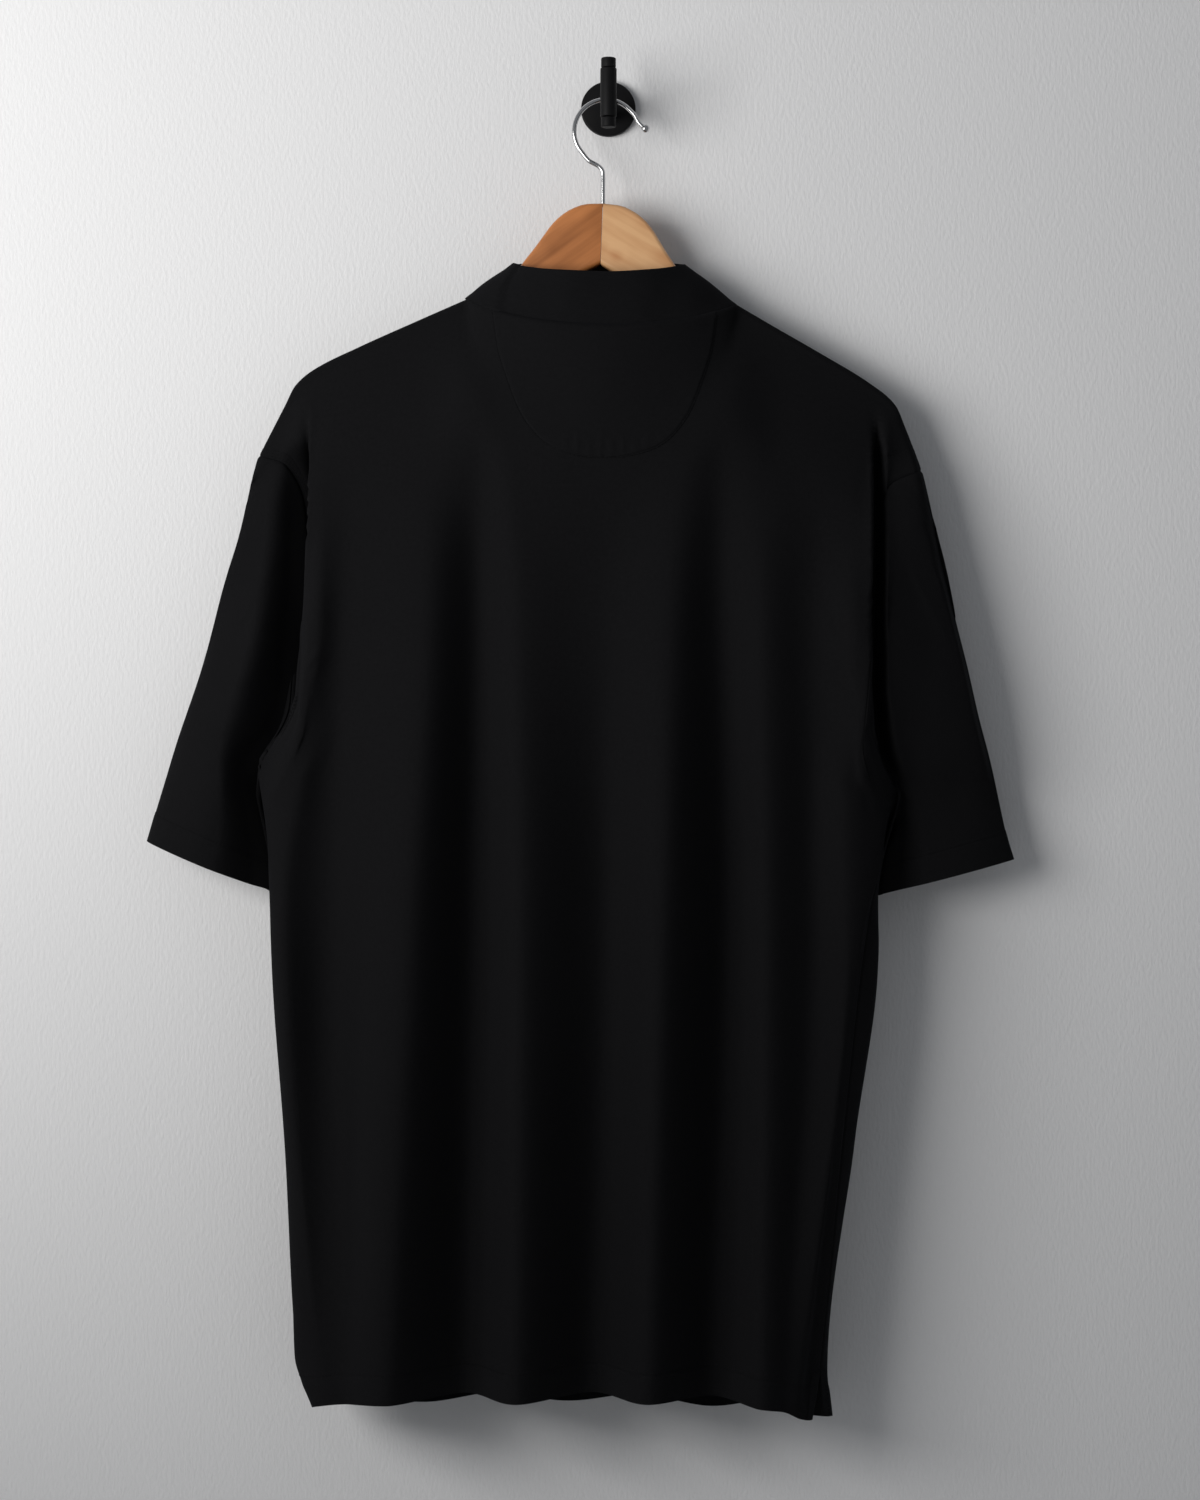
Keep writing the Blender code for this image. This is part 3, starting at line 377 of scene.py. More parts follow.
# five rows from the hem to the armpit are common to back and front, and four rows above it are each
# panel's own. Below the armpit, a panel's last ridge is where the other panel would run on to.
sideSeams = {
    "left": {
        "pitX": -0.268, "pitY": -0.048,
        "low": {"seamX": (-0.212, -0.223, -0.231, -0.24, -0.26),
                "seamY": (-0.062, -0.052, -0.05, -0.051, -0.058),
                "seamZ": (-0.97, -0.928, -0.746, -0.6, -0.499),
                "backX": (-0.217, -0.23, -0.24, -0.249, -0.251),
                "backY": (-0.088, -0.075, -0.072, -0.072, -0.08),
                "frontX": (-0.205, -0.217, -0.224, -0.231, -0.233),
                "frontY": (-0.04, -0.034, -0.03, -0.032, -0.038)},
        "back": {"seamX": (-0.229, -0.227, -0.23, -0.24), "seamY": (-0.084, -0.076, -0.047, -0.045),
                 "seamZ": (-0.442, -0.398, -0.304, -0.274),
                 "ridgeX": (-0.224, -0.222, -0.222, -0.226), "ridgeY": (-0.094, -0.091, -0.08, -0.06),
                 "beyondX": (-0.233, -0.234, -0.244, -0.256), "beyondY": (-0.062, -0.058, -0.049, -0.047)},
        "front": {"seamX": (-0.238, -0.236, -0.24, -0.247), "seamY": (-0.034, -0.025, -0.02, -0.024),
                  "seamZ": (-0.452, -0.398, -0.31, -0.28),
                  "ridgeX": (-0.225, -0.223, -0.225, -0.23), "ridgeY": (-0.03, -0.023, -0.021, -0.023),
                  "beyondX": (-0.246, -0.248, -0.254, -0.26), "beyondY": (-0.026, -0.018, -0.016, -0.02)},
    },
    "right": {
        "pitX": 0.225, "pitY": -0.048,
        "low": {"seamX": (0.149, 0.155, 0.174, 0.192, 0.217),
                "seamY": (-0.088, -0.086, -0.086, -0.079, -0.058),
                "seamZ": (-0.975, -0.937, -0.75, -0.607, -0.521),
                "backX": (0.141, 0.145, 0.166, 0.183, 0.197),
                "backY": (-0.1, -0.094, -0.092, -0.089, -0.082),
                "frontX": (0.161, 0.161, 0.182, 0.2, 0.198),
                "frontY": (-0.066, -0.07, -0.068, -0.062, -0.038)},
        "back": {"seamX": (0.184, 0.186, 0.199, 0.208), "seamY": (-0.09, -0.084, -0.05, -0.045),
                 "seamZ": (-0.461, -0.41, -0.315, -0.29),
                 "ridgeX": (0.177, 0.18, 0.192, 0.2), "ridgeY": (-0.095, -0.093, -0.083, -0.06),
                 "beyondX": (0.19, 0.194, 0.213, 0.224), "beyondY": (-0.066, -0.06, -0.05, -0.047)},
        "front": {"seamX": (0.201, 0.2, 0.209, 0.216), "seamY": (-0.034, -0.025, -0.02, -0.024),
                  "seamZ": (-0.468, -0.41, -0.322, -0.292),
                  "ridgeX": (0.188, 0.188, 0.195, 0.2), "ridgeY": (-0.03, -0.023, -0.021, -0.023),
                  "beyondX": (0.209, 0.212, 0.223, 0.229), "beyondY": (-0.026, -0.018, -0.016, -0.02)},
    },
}
# the folds from left to right: three ways down the back and front, ridge by valley
backFolds = {
    "topX": (-0.215, -0.183, -0.145, -0.105, None, None, None, 0.095, 0.14, 0.174, 0.198),
    "chestX": (-0.212, -0.193, -0.134, -0.096, -0.065, -0.006, 0.045, 0.083, 0.114, 0.149, 0.172),
    "waistX": (-0.237, -0.205, -0.144, -0.098, -0.063, -0.003, 0.039, 0.088, 0.116, 0.151, 0.174),
    "hemX": (-0.207, -0.193, -0.161, -0.105, -0.067, -0.012, 0.028, 0.076, 0.11, 0.128, 0.136),
    "upperY": (-0.074, -0.072, -0.074, -0.077, -0.082, -0.084, -0.083, -0.078, -0.075, -0.073, -0.074),
    "chestY": (-0.092, -0.084, -0.094, -0.074, -0.092, -0.082, -0.094, -0.076, -0.091, -0.08, -0.092),
    "waistY": (-0.088, -0.078, -0.108, -0.07, -0.106, -0.074, -0.108, -0.07, -0.098, -0.082, -0.092),
    "hemY": (-0.1, -0.104, -0.124, -0.078, -0.124, -0.08, -0.124, -0.082, -0.118, -0.108, -0.104),
    "hemZ": (-0.963, -0.961, -0.958, -0.958, -0.957, -0.957, -0.957, -0.959, -0.962, -0.966, -0.97),
}
frontFolds = {
    "topX": (-0.215, -0.16, -0.105, None, None, 0.095, 0.15, 0.198),
    "chestX": (-0.205, -0.15, -0.092, -0.03, 0.034, 0.09, 0.14, 0.18),
    "waistX": (-0.206, -0.148, -0.088, -0.026, 0.034, 0.092, 0.138, 0.18),
    "hemX": (-0.188, -0.138, -0.086, -0.03, 0.022, 0.074, 0.112, 0.146),
    "upperY": (-0.018, -0.022, -0.018, -0.015, -0.016, -0.019, -0.02, -0.02),
    "chestY": (-0.017, -0.026, -0.013, -0.021, -0.012, -0.024, -0.015, -0.018),
    "waistY": (-0.02, -0.034, -0.01, -0.03, -0.01, -0.032, -0.014, -0.028),
    "hemY": (-0.024, -0.042, -0.009, -0.038, -0.009, -0.042, -0.016, -0.036),
    "hemZ": (-0.972, -0.972, -0.972, -0.972, -0.973, -0.975, -0.978, -0.982),
}


def ringPoints(ring, share, back):
    angle = math.pi * np.atleast_1d(np.asarray(share, float))
    reach = np.cos(angle)
    bulge = np.maximum(np.sin(angle), 0.0) ** ringPowers["bulge"]
    x = ring["mid"] - ring["half"] * np.sign(reach) * np.abs(reach) ** ring["sidePower"]
    y = hangerY + (-ring["backOut"] if back else ring["frontOut"]) * bulge
    drop = (ring["backDrop"] if back else ring["frontDrop"]) * bulge ** ringPowers["drop"]
    z = ring["leftZ"] + (ring["rightZ"] - ring["leftZ"]) * angle / math.pi - drop
    return np.stack([x, y, z], axis=-1)


def makeSide(sideName, panelName):
    seam = sideSeams[sideName]
    low, high = seam["low"], seam[panelName]
    otherName = "front" if panelName == "back" else "back"
    made = {key: low[key] + low[key][-1:] + high[key] for key in ("seamX", "seamY", "seamZ")}
    for axis in "XY":
        own = low[panelName + axis]
        made["ridge" + axis] = own + own[-1:] + high["ridge" + axis]
        made["beyond" + axis] = low[otherName + axis] + (seam["pit" + axis],) + high["beyond" + axis]
    return made


def makePanel(name, folds):
    # two columns stand at each side of the folds: the side seam, and the last ridge next to it
    back = name == "back"
    out = -1 if back else 1
    return {"left": makeSide("left", name), "right": makeSide("right", name), "folds": folds, "back": back,
            "out": out, "seamY": hangerY + out * seamGap / 2, "count": len(folds["topX"]) + 4,
            "neckLeft": 2 + folds["topX"].index(leftShoulder["x"][0]),
            "neckRight": 2 + folds["topX"].index(rightShoulder["x"][0])}


def topX(panel, column):
    ends = {0: leftShoulder["x"][-1], 1: leftShoulder["x"][-3],
            panel["count"] - 1: rightShoulder["x"][-1], panel["count"] - 2: rightShoulder["x"][-3]}
    return ends[column] if column in ends else panel["folds"]["topX"][column - 2]


def topPoints(panel, at):
    # the shoulder lines and, between them, the neck seam
    at = np.atleast_1d(np.asarray(at, float))
    made = np.zeros((len(at), 3))
    left, right = panel["neckLeft"], panel["neckRight"]
    inNeck = (at > left) & (at < right)
    neck = ringPoints(neckSeam, (at - left) / (right - left), panel["back"])
    near = np.abs(neck[:, 1] - hangerY) < seamGap / 2
    neck[near, 1] = panel["seamY"]
    made[inNeck] = neck[inNeck]
    sides = (
        (at <= left, list(range(left + 1)), leftShoulder),
        (at >= right, list(range(right, panel["count"])), rightShoulder),
    )
    for chosen, columns, line in sides:
        x = eased(columns, [topX(panel, column) for column in columns], at[chosen])
        order = np.argsort(line["x"])
        z = eased(np.array(line["x"])[order], np.array(line["z"])[order], x)
        made[chosen] = np.stack([x, np.full_like(x, panel["seamY"]), z], axis=-1)
    return made


def columnPoints(panel, column, share):
    # column 0 and the last are the side seams, and the next ones in are the last ridges
    top = topPoints(panel, column)[0]
    last = panel["count"] - 1
    intoNeck = min(column - panel["neckLeft"], panel["neckRight"] - column)
    scale = 1 - (1 - neckTurn["scale"]) * float(smoothStep(neckTurn["from"], neckTurn["to"], intoNeck))
    turnYs = tuple(top[1] + panel["out"] * out * scale for out in shoulderTurn["out"])
    side = panel["left"] if column <= 1 else panel["right"]
    if column in (0, last):
        low, high = slice(0, pitRow + 1), slice(pitRow + 1, None)
        knots = edgeShares[high]
        below = [eased(edgeShares[low], side[key][low], share) for key in ("seamX", "seamY", "seamZ")]
        above = [eased(knots + (1.0,), side["seamX"][high] + (top[0],), share),
                 eased(knots + shoulderTurn["share"], side["seamY"][high] + turnYs, share),
                 eased(knots + (1.0,), side["seamZ"][high] + (top[2],), share)]
        return np.where((share <= edgeShares[pitRow])[:, None], np.stack(below, -1), np.stack(above, -1))
    folds = panel["folds"]
    if column in (1, last - 1):
        knots = edgeShares[:pitRow] + edgeShares[pitRow + 1:]
        xs = side["ridgeX"][:pitRow] + side["ridgeX"][pitRow + 1:]
        ys = side["ridgeY"][:pitRow] + side["ridgeY"][pitRow + 1:]
        x = eased(knots + (1.0,), xs + (top[0],), share)
        y = eased(knots + shoulderTurn["share"], ys + turnYs, share)
        hemZ = (side["seamZ"][0] + folds["hemZ"][0 if column == 1 else -1]) / 2
        return np.stack([x, y, hemZ + (top[2] - hemZ) * share], axis=-1)
    pick = column - 2
    x = eased((0.0, shareOf["waist"], shareOf["chest"], 1.0),
              (folds["hemX"][pick], folds["waistX"][pick], folds["chestX"][pick], top[0]), share)
    y = eased((0.0, shareOf["waist"], shareOf["chest"], shareOf["upper"]) + shoulderTurn["share"],
              tuple(folds[key][pick] for key in ("hemY", "waistY", "chestY", "upperY")) + turnYs, share)
    hemZ = folds["hemZ"][pick]
    return np.stack([x, y, hemZ + (top[2] - hemZ) * share], axis=-1)


def beyondPoints(panel, onLeft, share):
    # one column past the side seam, so that the cloth's curve runs on over it
    side = panel["left"] if onLeft else panel["right"]
    edge = 0 if onLeft else panel["count"] - 1
    end = topPoints(panel, edge)[0]
    low, high = slice(0, pitRow + 1), slice(pitRow + 1, None)
    endX = 2 * end[0] - topX(panel, 1 if onLeft else edge - 1)
    z = columnPoints(panel, edge, share)[:, 2]
    below = [eased(edgeShares[low], side[key][low], share) for key in ("beyondX", "beyondY")]
    above = [eased(edgeShares[high] + (1.0,), side["beyondX"][high] + (endX,), share),
             eased(edgeShares[high] + (1.0,), side["beyondY"][high] + (end[1],), share)]
    kept = share <= edgeShares[pitRow]
    return np.stack([np.where(kept, below[0], above[0]), np.where(kept, below[1], above[1]), z], axis=-1)


def panelPoints(panel, at, share):
    # at counts the columns from the left seam, share goes up from the hem
    at = np.asarray(at, float).ravel()
    share = np.asarray(share, float).ravel()
    count = panel["count"]
    columns = np.arange(-1, count + 1)
    lines = [beyondPoints(panel, True, share)]
    lines += [columnPoints(panel, column, share) for column in range(count)]
    lines += [beyondPoints(panel, False, share)]
    made = eased(columns, np.stack(lines), at)
    nearTop = smoothStep(topBlend, 1.0, share)
    chosen = nearTop > 0
    if chosen.any():
        tops = topPoints(panel, np.arange(count))
        ends = [beyondPoints(panel, onLeft, np.array([1.0])) for onLeft in (True, False)]
        tops = np.concatenate([ends[0], tops, ends[1]])
        meant = eased(columns, np.repeat(tops[:, None], chosen.sum(), axis=1), at[chosen])
        made[chosen] += nearTop[chosen, None] * (topPoints(panel, at[chosen]) - meant)
    return made


backPanel = makePanel("back", backFolds)
frontPanel = makePanel("front", frontFolds)


def gridNormals(points):
    return unit(np.cross(np.gradient(points, axis=1), np.gradient(points, axis=0)))


def clothMesh(name, points, uv, faceOut, closed=False, ringed=False):
    # closed joins each row's ends; ringed joins the last row to the first
    rows, columns = points.shape[:2]
    high = np.arange(rows if ringed else rows - 1)[:, None]
    wide = np.arange(columns if closed else columns - 1)[None, :]
    beside, above = (wide + 1) % columns, (high + 1) % rows
    corners = [high * columns + wide, high * columns + beside, above * columns + beside,
               above * columns + wide]
    faces = np.stack(corners if faceOut else corners[::-1], axis=-1).reshape(-1, 4)
    mesh = bpy.data.meshes.new(name)
    mesh.from_pydata(points.reshape(-1, 3).tolist(), [], faces.tolist())
    mesh.update()
    # a row's last face runs on past the row's end in the pattern, not back to its start
    full = np.concatenate([uv, uv[:, -1:] + np.stack([
        np.linalg.norm(points[:, :1] - points[:, -1:], axis=-1), np.zeros((rows, 1))], axis=-1)], axis=1)
    spots = [full[high, wide], full[high, wide + 1], full[above, wide + 1], full[above, wide]]
    places = np.stack(spots if faceOut else spots[::-1], axis=2).reshape(-1, 2)
    mesh.uv_layers.new(name="cloth").data.foreach_set("uv", places.ravel())
    mesh.polygons.foreach_set("use_smooth", np.ones(len(mesh.polygons), bool))
    return mesh


def deselectAll():
    if bpy.context.object and bpy.context.object.mode != "OBJECT":
        bpy.ops.object.mode_set(mode="OBJECT")
    bpy.ops.object.select_all(action="DESELECT")


def finishPiece(piece, name, finish, slotName, *nodes):
    piece.name = name
    piece.data.materials.append(finish)
    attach(piece, body)
    if nodes:
        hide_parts(*nodes)
    return piece


def addCloth(name, mesh, finish, *nodes):
    deselectAll()
    piece = bpy.data.objects.new(name, mesh)
    scene.collection.objects.link(piece)
    return finishPiece(piece, name, finish, "black_jersey", *nodes)


def report(name, points, **measures):
    said = (f"{key} {value:.3f}" for key, value in measures.items())
    print(name, "rows and columns", points.shape[:2], *said)


def nearest(values, wanted):
    return int(np.argmin(np.abs(values - wanted)))


def thicken(piece, thickness, shares=None):
    wallOf = piece.modifiers.new("cloth wall", "SOLIDIFY")
    wallOf.thickness = thickness
    wallOf.offset = -1.0
    wallOf.use_even_offset = False
    if shares is None:
        return
    group = piece.vertex_groups.new(name="wall share")
    rounded = np.round(shares, 2)
    for value in np.unique(rounded):
        group.add(np.nonzero(np.isclose(rounded, value))[0].tolist(), float(value), "REPLACE")
    wallOf.vertex_group = group.name


def groove(distance, middle, width):
    return np.exp(-((distance - middle) / width) ** 2)


dents = {"tall": (1.2, 3.5), "lean": 0.5}


def softDents(points, seed, count, size, depth, box):
    # slow, shallow unevenness that hung cloth has between its folds
    dice = np.random.default_rng(seed)
    made = np.zeros(points.shape[:2])
    for _ in range(count):
        x = dice.uniform(box[0], box[1])
        z = dice.uniform(box[2], box[3])
        wide = dice.uniform(*size)
        tall = wide * dice.uniform(*dents["tall"])
        lean = dice.uniform(-dents["lean"], dents["lean"])
        dx = points[..., 0] - x + lean * (points[..., 2] - z)
        dz = points[..., 2] - z
        made += dice.uniform(-depth, depth) * np.exp(-(dx / wide) ** 2 - (dz / tall) ** 2)
    return made


creaseEnds = {"start": (-0.25, 0.3), "end": (1.25, 0.7)}  # where a crease begins and is full, in its lengths


def creaseLines(points, lines):
    # each line: from x, z to x, z, its width, and how far it stands out (or in, below zero)
    made = np.zeros(points.shape[:2])
    for x0, z0, x1, z1, wide, rise in lines:
        along = np.array([x1 - x0, z1 - z0])
        length = np.hypot(*along)
        along = along / length
        dx, dz = points[..., 0] - x0, points[..., 2] - z0
        t = (dx * along[0] + dz * along[1]) / length
        off = dx * along[1] - dz * along[0]
        fade = smoothStep(*creaseEnds["start"], t) * smoothStep(*creaseEnds["end"], t)
        made += rise * np.exp(-(off / wide) ** 2) * fade
    return made


stitch = {"pitch": 0.003, "length": 0.0023, "radius": 0.00024, "lift": 0.00012, "sides": 5, "look": 0.0008,
          # a stitch's rings: place along it, size, and lift, with the ends sunk into the cloth
          "rings": ((-0.5, 0.35, -1.5), (-0.3, 0.95, 1), (0.3, 0.95, 1), (0.5, 0.35, -1.5))}
stitchRows = {}


def addStitches(name, path, normals, closed=False):
    # a row of stitches along a path of points; it is kept until the piece's rows are all known
    stitchRows.setdefault(name, []).append((np.asarray(path), np.asarray(normals), closed))


def alongPath(places, gone, line):
    return np.stack([np.interp(places, gone, line[:, k]) for k in range(3)], axis=-1)


def oneStitch(verts, faces, middle, ahead, out, aside):
    first, sides = len(verts), stitch["sides"]
    for place, size, lift in stitch["rings"]:
        centre = middle + ahead * place * stitch["length"] + out * stitch["lift"] * lift
        for k in range(sides):
            turn = 2 * math.pi * k / sides
            verts.append(centre + stitch["radius"] * size * (out * math.cos(turn) + aside * math.sin(turn)))
    for ring in range(len(stitch["rings"]) - 1):
        start = first + ring * sides
        for k in range(sides):
            j = (k + 1) % sides
            faces.append((start + k, start + j, start + j + sides, start + k + sides))
    end = first + (len(stitch["rings"]) - 1) * sides
    faces.append(tuple(first + k for k in reversed(range(sides))))
    faces.append(tuple(end + k for k in range(sides)))


def stitchMesh(name):
    verts, faces = [], []
    for path, normals, closed in stitchRows[name]:
        if closed:
            path = np.concatenate([path, path[:1]])
            normals = np.concatenate([normals, normals[:1]])
        gone = lengthsAlong(path, 0)
        count = int(gone[-1] / stitch["pitch"])
        if count < 1:
            continue
        places = (np.arange(count) + 0.5) * gone[-1] / count
        ahead = unit(alongPath(places + stitch["look"], gone, path)
                     - alongPath(places - stitch["look"], gone, path))
        out = alongPath(places, gone, normals)
        out = unit(out - ahead * np.sum(out * ahead, axis=-1, keepdims=True))
        for axes in zip(alongPath(places, gone, path), ahead, out, np.cross(ahead, out)):
            oneStitch(verts, faces, *axes)
    mesh = bpy.data.meshes.new(name)
    mesh.from_pydata([tuple(v) for v in verts], [], faces)
    shape = bmesh.new()
    shape.from_mesh(mesh)
    bmesh.ops.recalc_face_normals(shape, faces=shape.faces)
    shape.to_mesh(mesh)
    shape.free()
    mesh.polygons.foreach_set("use_smooth", np.ones(len(mesh.polygons), bool))
    return mesh


def addStitching(name):
    piece = addCloth(name, stitchMesh(name), finishes["thread"])
    print(name, len(piece.data.polygons), "faces")
    return piece


# the deep folds beside the armholes, by height z: where the body's edge runs, how far the fold reaches
# from it, how deep it lies, how much of it is cut, a shift outwards, and how far the cloth in and
# beyond it stands up
armholeFolds = {
    "left": {"way": -1, "near": 0.003, "flat": 0.04, "bend": 1.7, "under": 0.0042, "round": 0.05,
             "z": (-0.6, -0.56, -0.53, -0.51, -0.495, -0.48, -0.47, -0.448, -0.425, -0.4, -0.372,
                   -0.31, -0.27, -0.252, -0.23),
             "edge": (-0.252, -0.252, -0.256, -0.26, -0.257, -0.2475, -0.239, -0.2318, -0.229, -0.2265,
                      -0.2245, -0.2225, -0.2225, -0.2225, -0.2225),
             "far": (0.05, 0.038, 0.031, 0.027, 0.031, 0.039, 0.046, 0.047, 0.043, 0.0385, 0.036, 0.03,
                     0.021, 0.014, 0.01),
             "deep": (-0.024, -0.023, -0.022, -0.021, -0.021, -0.021, -0.021, -0.02, -0.02, -0.02, -0.02,
                      -0.02, -0.024, -0.034, -0.04),
             "cut": (0.6, 0.6, 0.55, 0.55, 0.7, 0.9, 1.0, 1.0, 1.0, 1.0, 1.0, 1.0, 1.0, 0.5, 0.0),
             "shift": (0.0,) * 15,
             "lift": (0.006, 0.008, 0.01, 0.012, 0.012, 0.012, 0.013, 0.014, 0.014, 0.014, 0.013, 0.01,
                      0.006, 0.003, 0.0)},
    "right": {"way": 1, "near": 0.0035, "flat": 0.45, "bend": 1.2, "under": 0.0, "round": 0.007,
              "z": (-0.6, -0.56, -0.53, -0.512, -0.5, -0.485, -0.46, -0.44, -0.4, -0.36, -0.315,
                    -0.27, -0.253, -0.228),
              "edge": (0.202, 0.202, 0.206, 0.209, 0.203, 0.1975, 0.1945, 0.193, 0.193, 0.194, 0.195,
                       0.196, 0.1965, 0.1965),
              "far": (0.036, 0.034, 0.026, 0.016, 0.016, 0.015, 0.013, 0.012, 0.0115, 0.011, 0.011, 0.01,
                      0.008, 0.007),
              "deep": (-0.046, -0.046, -0.046, -0.046, -0.046, -0.046, -0.046, -0.046, -0.046, -0.045, -0.042,
                       -0.034, -0.04, -0.044),
              "cut": (0.7, 0.7, 0.5, 0.3, 0.6, 0.9, 1.0, 1.0, 1.0, 1.0, 1.0, 1.0, 0.7, 0.0),
              "shift": (0.0, 0.0, 0.0, 0.0, 0.003, 0.006, 0.008, 0.0085, 0.0085, 0.007, 0.002, 0.0, 0.0, 0.0),
              "lift": (0.0, 0.0, 0.0, 0.003, 0.008, 0.013, 0.017, 0.019, 0.02, 0.019, 0.015, 0.006, 0.003,
                       0.0)},
}
# the outer edge of each sleeve: heights z, then x
sleeveEdges = {
    "left": ((-0.554, -0.5086, -0.4637, -0.4189, -0.374, -0.3291, -0.2984, -0.2665, -0.24),
             (-0.344, -0.3305, -0.3155, -0.3012, -0.2886, -0.2744, -0.2676, -0.2613, -0.24)),
    "right": ((-0.5685, -0.5535, -0.5086, -0.4637, -0.4189, -0.374, -0.3291, -0.2783, -0.24),
              (0.303, 0.298, 0.2878, 0.2768, 0.2671, 0.2562, 0.2452, 0.2345, 0.22)),
}

# where a fold begins and ends, counted from its edge, and its shift, counted across the body
foldShape = {"start": -0.0005, "tuckFull": 0.0025, "tuckEnd": (0.016, 0.004),
             "shiftStart": (0.135, 0.184), "shiftEnd": (0.24, 0.2)}


def foldArmhole(points, side):
    fold = armholeFolds[side]
    shape = points.shape[:-1]
    z = points[..., 2].ravel()
    edge, far, deep, cut, shift, lift = (eased(fold["z"], fold[key], z).reshape(shape)
                                         for key in ("edge", "far", "deep", "cut", "shift", "lift"))
    moved = points.copy()
    x = points[..., 0] * fold["way"]
    moved[..., 0] += (fold["way"] * shift * smoothStep(*foldShape["shiftStart"], x)
                      * smoothStep(*foldShape["shiftEnd"], x))
    off = fold["way"] * (moved[..., 0] - edge)
    heights, edges = sleeveEdges[side]
    toEdge = np.maximum(fold["way"] * (eased(heights, edges, z).reshape(shape) - moved[..., 0]), 0.0)
    moved[..., 1] -= lift * smoothStep(0.0, far, off) * smoothStep(0.0, fold["round"], toEdge)
    flat = far * fold["flat"]
    rest = np.clip(1 - (off - flat) / (far - flat), 0.0, 1.0)
    weight = cut * smoothStep(foldShape["start"], fold["near"], off) * rest ** fold["bend"]
    moved[..., 1] += weight * np.maximum(deep - moved[..., 1], 0.0)
    tucked = (smoothStep(foldShape["start"], foldShape["tuckFull"], off)
              * smoothStep(*foldShape["tuckEnd"], off) * cut)
    moved[..., 0] -= fold["way"] * fold["under"] * tucked
    return moved


seams = {"hem": 0.022, "hemLift": 0.00045, "hemStep": 0.0009, "hemWallStep": 0.001,
         "hemRow": 0.0008, "hemRowDip": 0.0004, "hemRowWidth": 0.0007,  # hemRow is in from the hem's edge
         "seamDip": 0.0009, "seamWidth": 0.0014,
         "bandWidth": {"left": 0.0074, "right": 0.0216}, "bandLift": 0.0007, "bandStep": 0.0012,
         "bandRows": {"left": (0.0021, 0.0045, 0.007), "right": (0.0187, 0.0208)},
         "rowDip": 0.0007, "rowWidth": 0.0008,
         "bandStart": (0.01, 0.06), "bandFaint": 0.25, "bandFullZ": (-0.32, -0.38),
         "rowStart": 0.035, "rowEnd": 0.985,
         "neckLift": 0.0003, "neckRidge": 0.0012, "neckWidth": 0.0016, "neckSpan": (0.108, 0.1),
         "ventTop": 0.045, "ventFull": 0.8, "ventBand": 0.0095, "ventRow": 0.001,
         "tackLines": (0.0, 0.0006)}
# how the corners part at the vents, and how far the left edge swells above its corner
vents = {"reach": 0.045, "power": 1.4, "left": 0.35, "right": 1.0, "back": (-0.001, -0.0015),
         "front": (0.0085, 0.01), "leftSwell": 0.003, "swellTop": 0.085}
edgeGaps = np.array([0, 0.7, 1.4, 2.1, 2.8, 3.6, 4.5, 5.3, 6.2, 7.0, 7.8, 8.7, 9.5, 11, 13, 15.5, 17.2,
                     18.0, 18.7, 19.4, 20.1, 20.8, 21.6, 23.5]) / 1000
hemGaps = np.array([0, 0.6, 1.4, 3, 6, 9, 12, 15, 18, 20, 21.2, 22, 22.8, 24, 26]) / 1000
topGaps = np.array([0, 0.7, 1.4, 2.4, 4, 6]) / 1000
topShares = np.array([0.985, 0.9885, 0.9915, 0.994, 0.996, 0.9975, 0.9988, 0.9994, 1.0])
hemLevel = (0.16, 0.05)  # rows are level with the hem below the second share
cloth = {"wall": 0.0024, "thin": 0.5, "dense": 500}
panelGrids = {"back": {"rows": 206, "across": 150, "seed": 11},
              "front": {"rows": 150, "across": 120, "seed": 23}}
panelDents = {"count": 90, "size": (0.012, 0.04), "depth": 0.00055, "box": (-0.25, 0.22, -0.98, -0.25)}


def hemRelief(fromHem):
    # the turned hem stands out, and its row of stitches draws it in
    step = smoothStep(seams["hem"] + seams["hemStep"], seams["hem"], fromHem)
    row = groove(fromHem, seams["hem"] - seams["hemRow"], seams["hemRowWidth"])
    return seams["hemLift"] * step - seams["hemRowDip"] * row


def wallShares(fromHem):
    # the cloth is double in the hem and thinner above it
    doubled = smoothStep(seams["hem"] + seams["hemWallStep"], seams["hem"], fromHem)
    return (cloth["thin"] + (1 - cloth["thin"]) * doubled).ravel()


def hemRowOf(fromHem, column):
    return nearest(fromHem[:, column], seams["hem"] - seams["hemRow"])


def neckRidge(fromNeck):
    # the turned-in seam lifts the cloth beside the collar
    return seams["neckLift"] * groove(fromNeck, seams["neckRidge"], seams["neckWidth"])


def edgeBand(distance, width):
    return smoothStep(width, width - seams["bandStep"], distance)


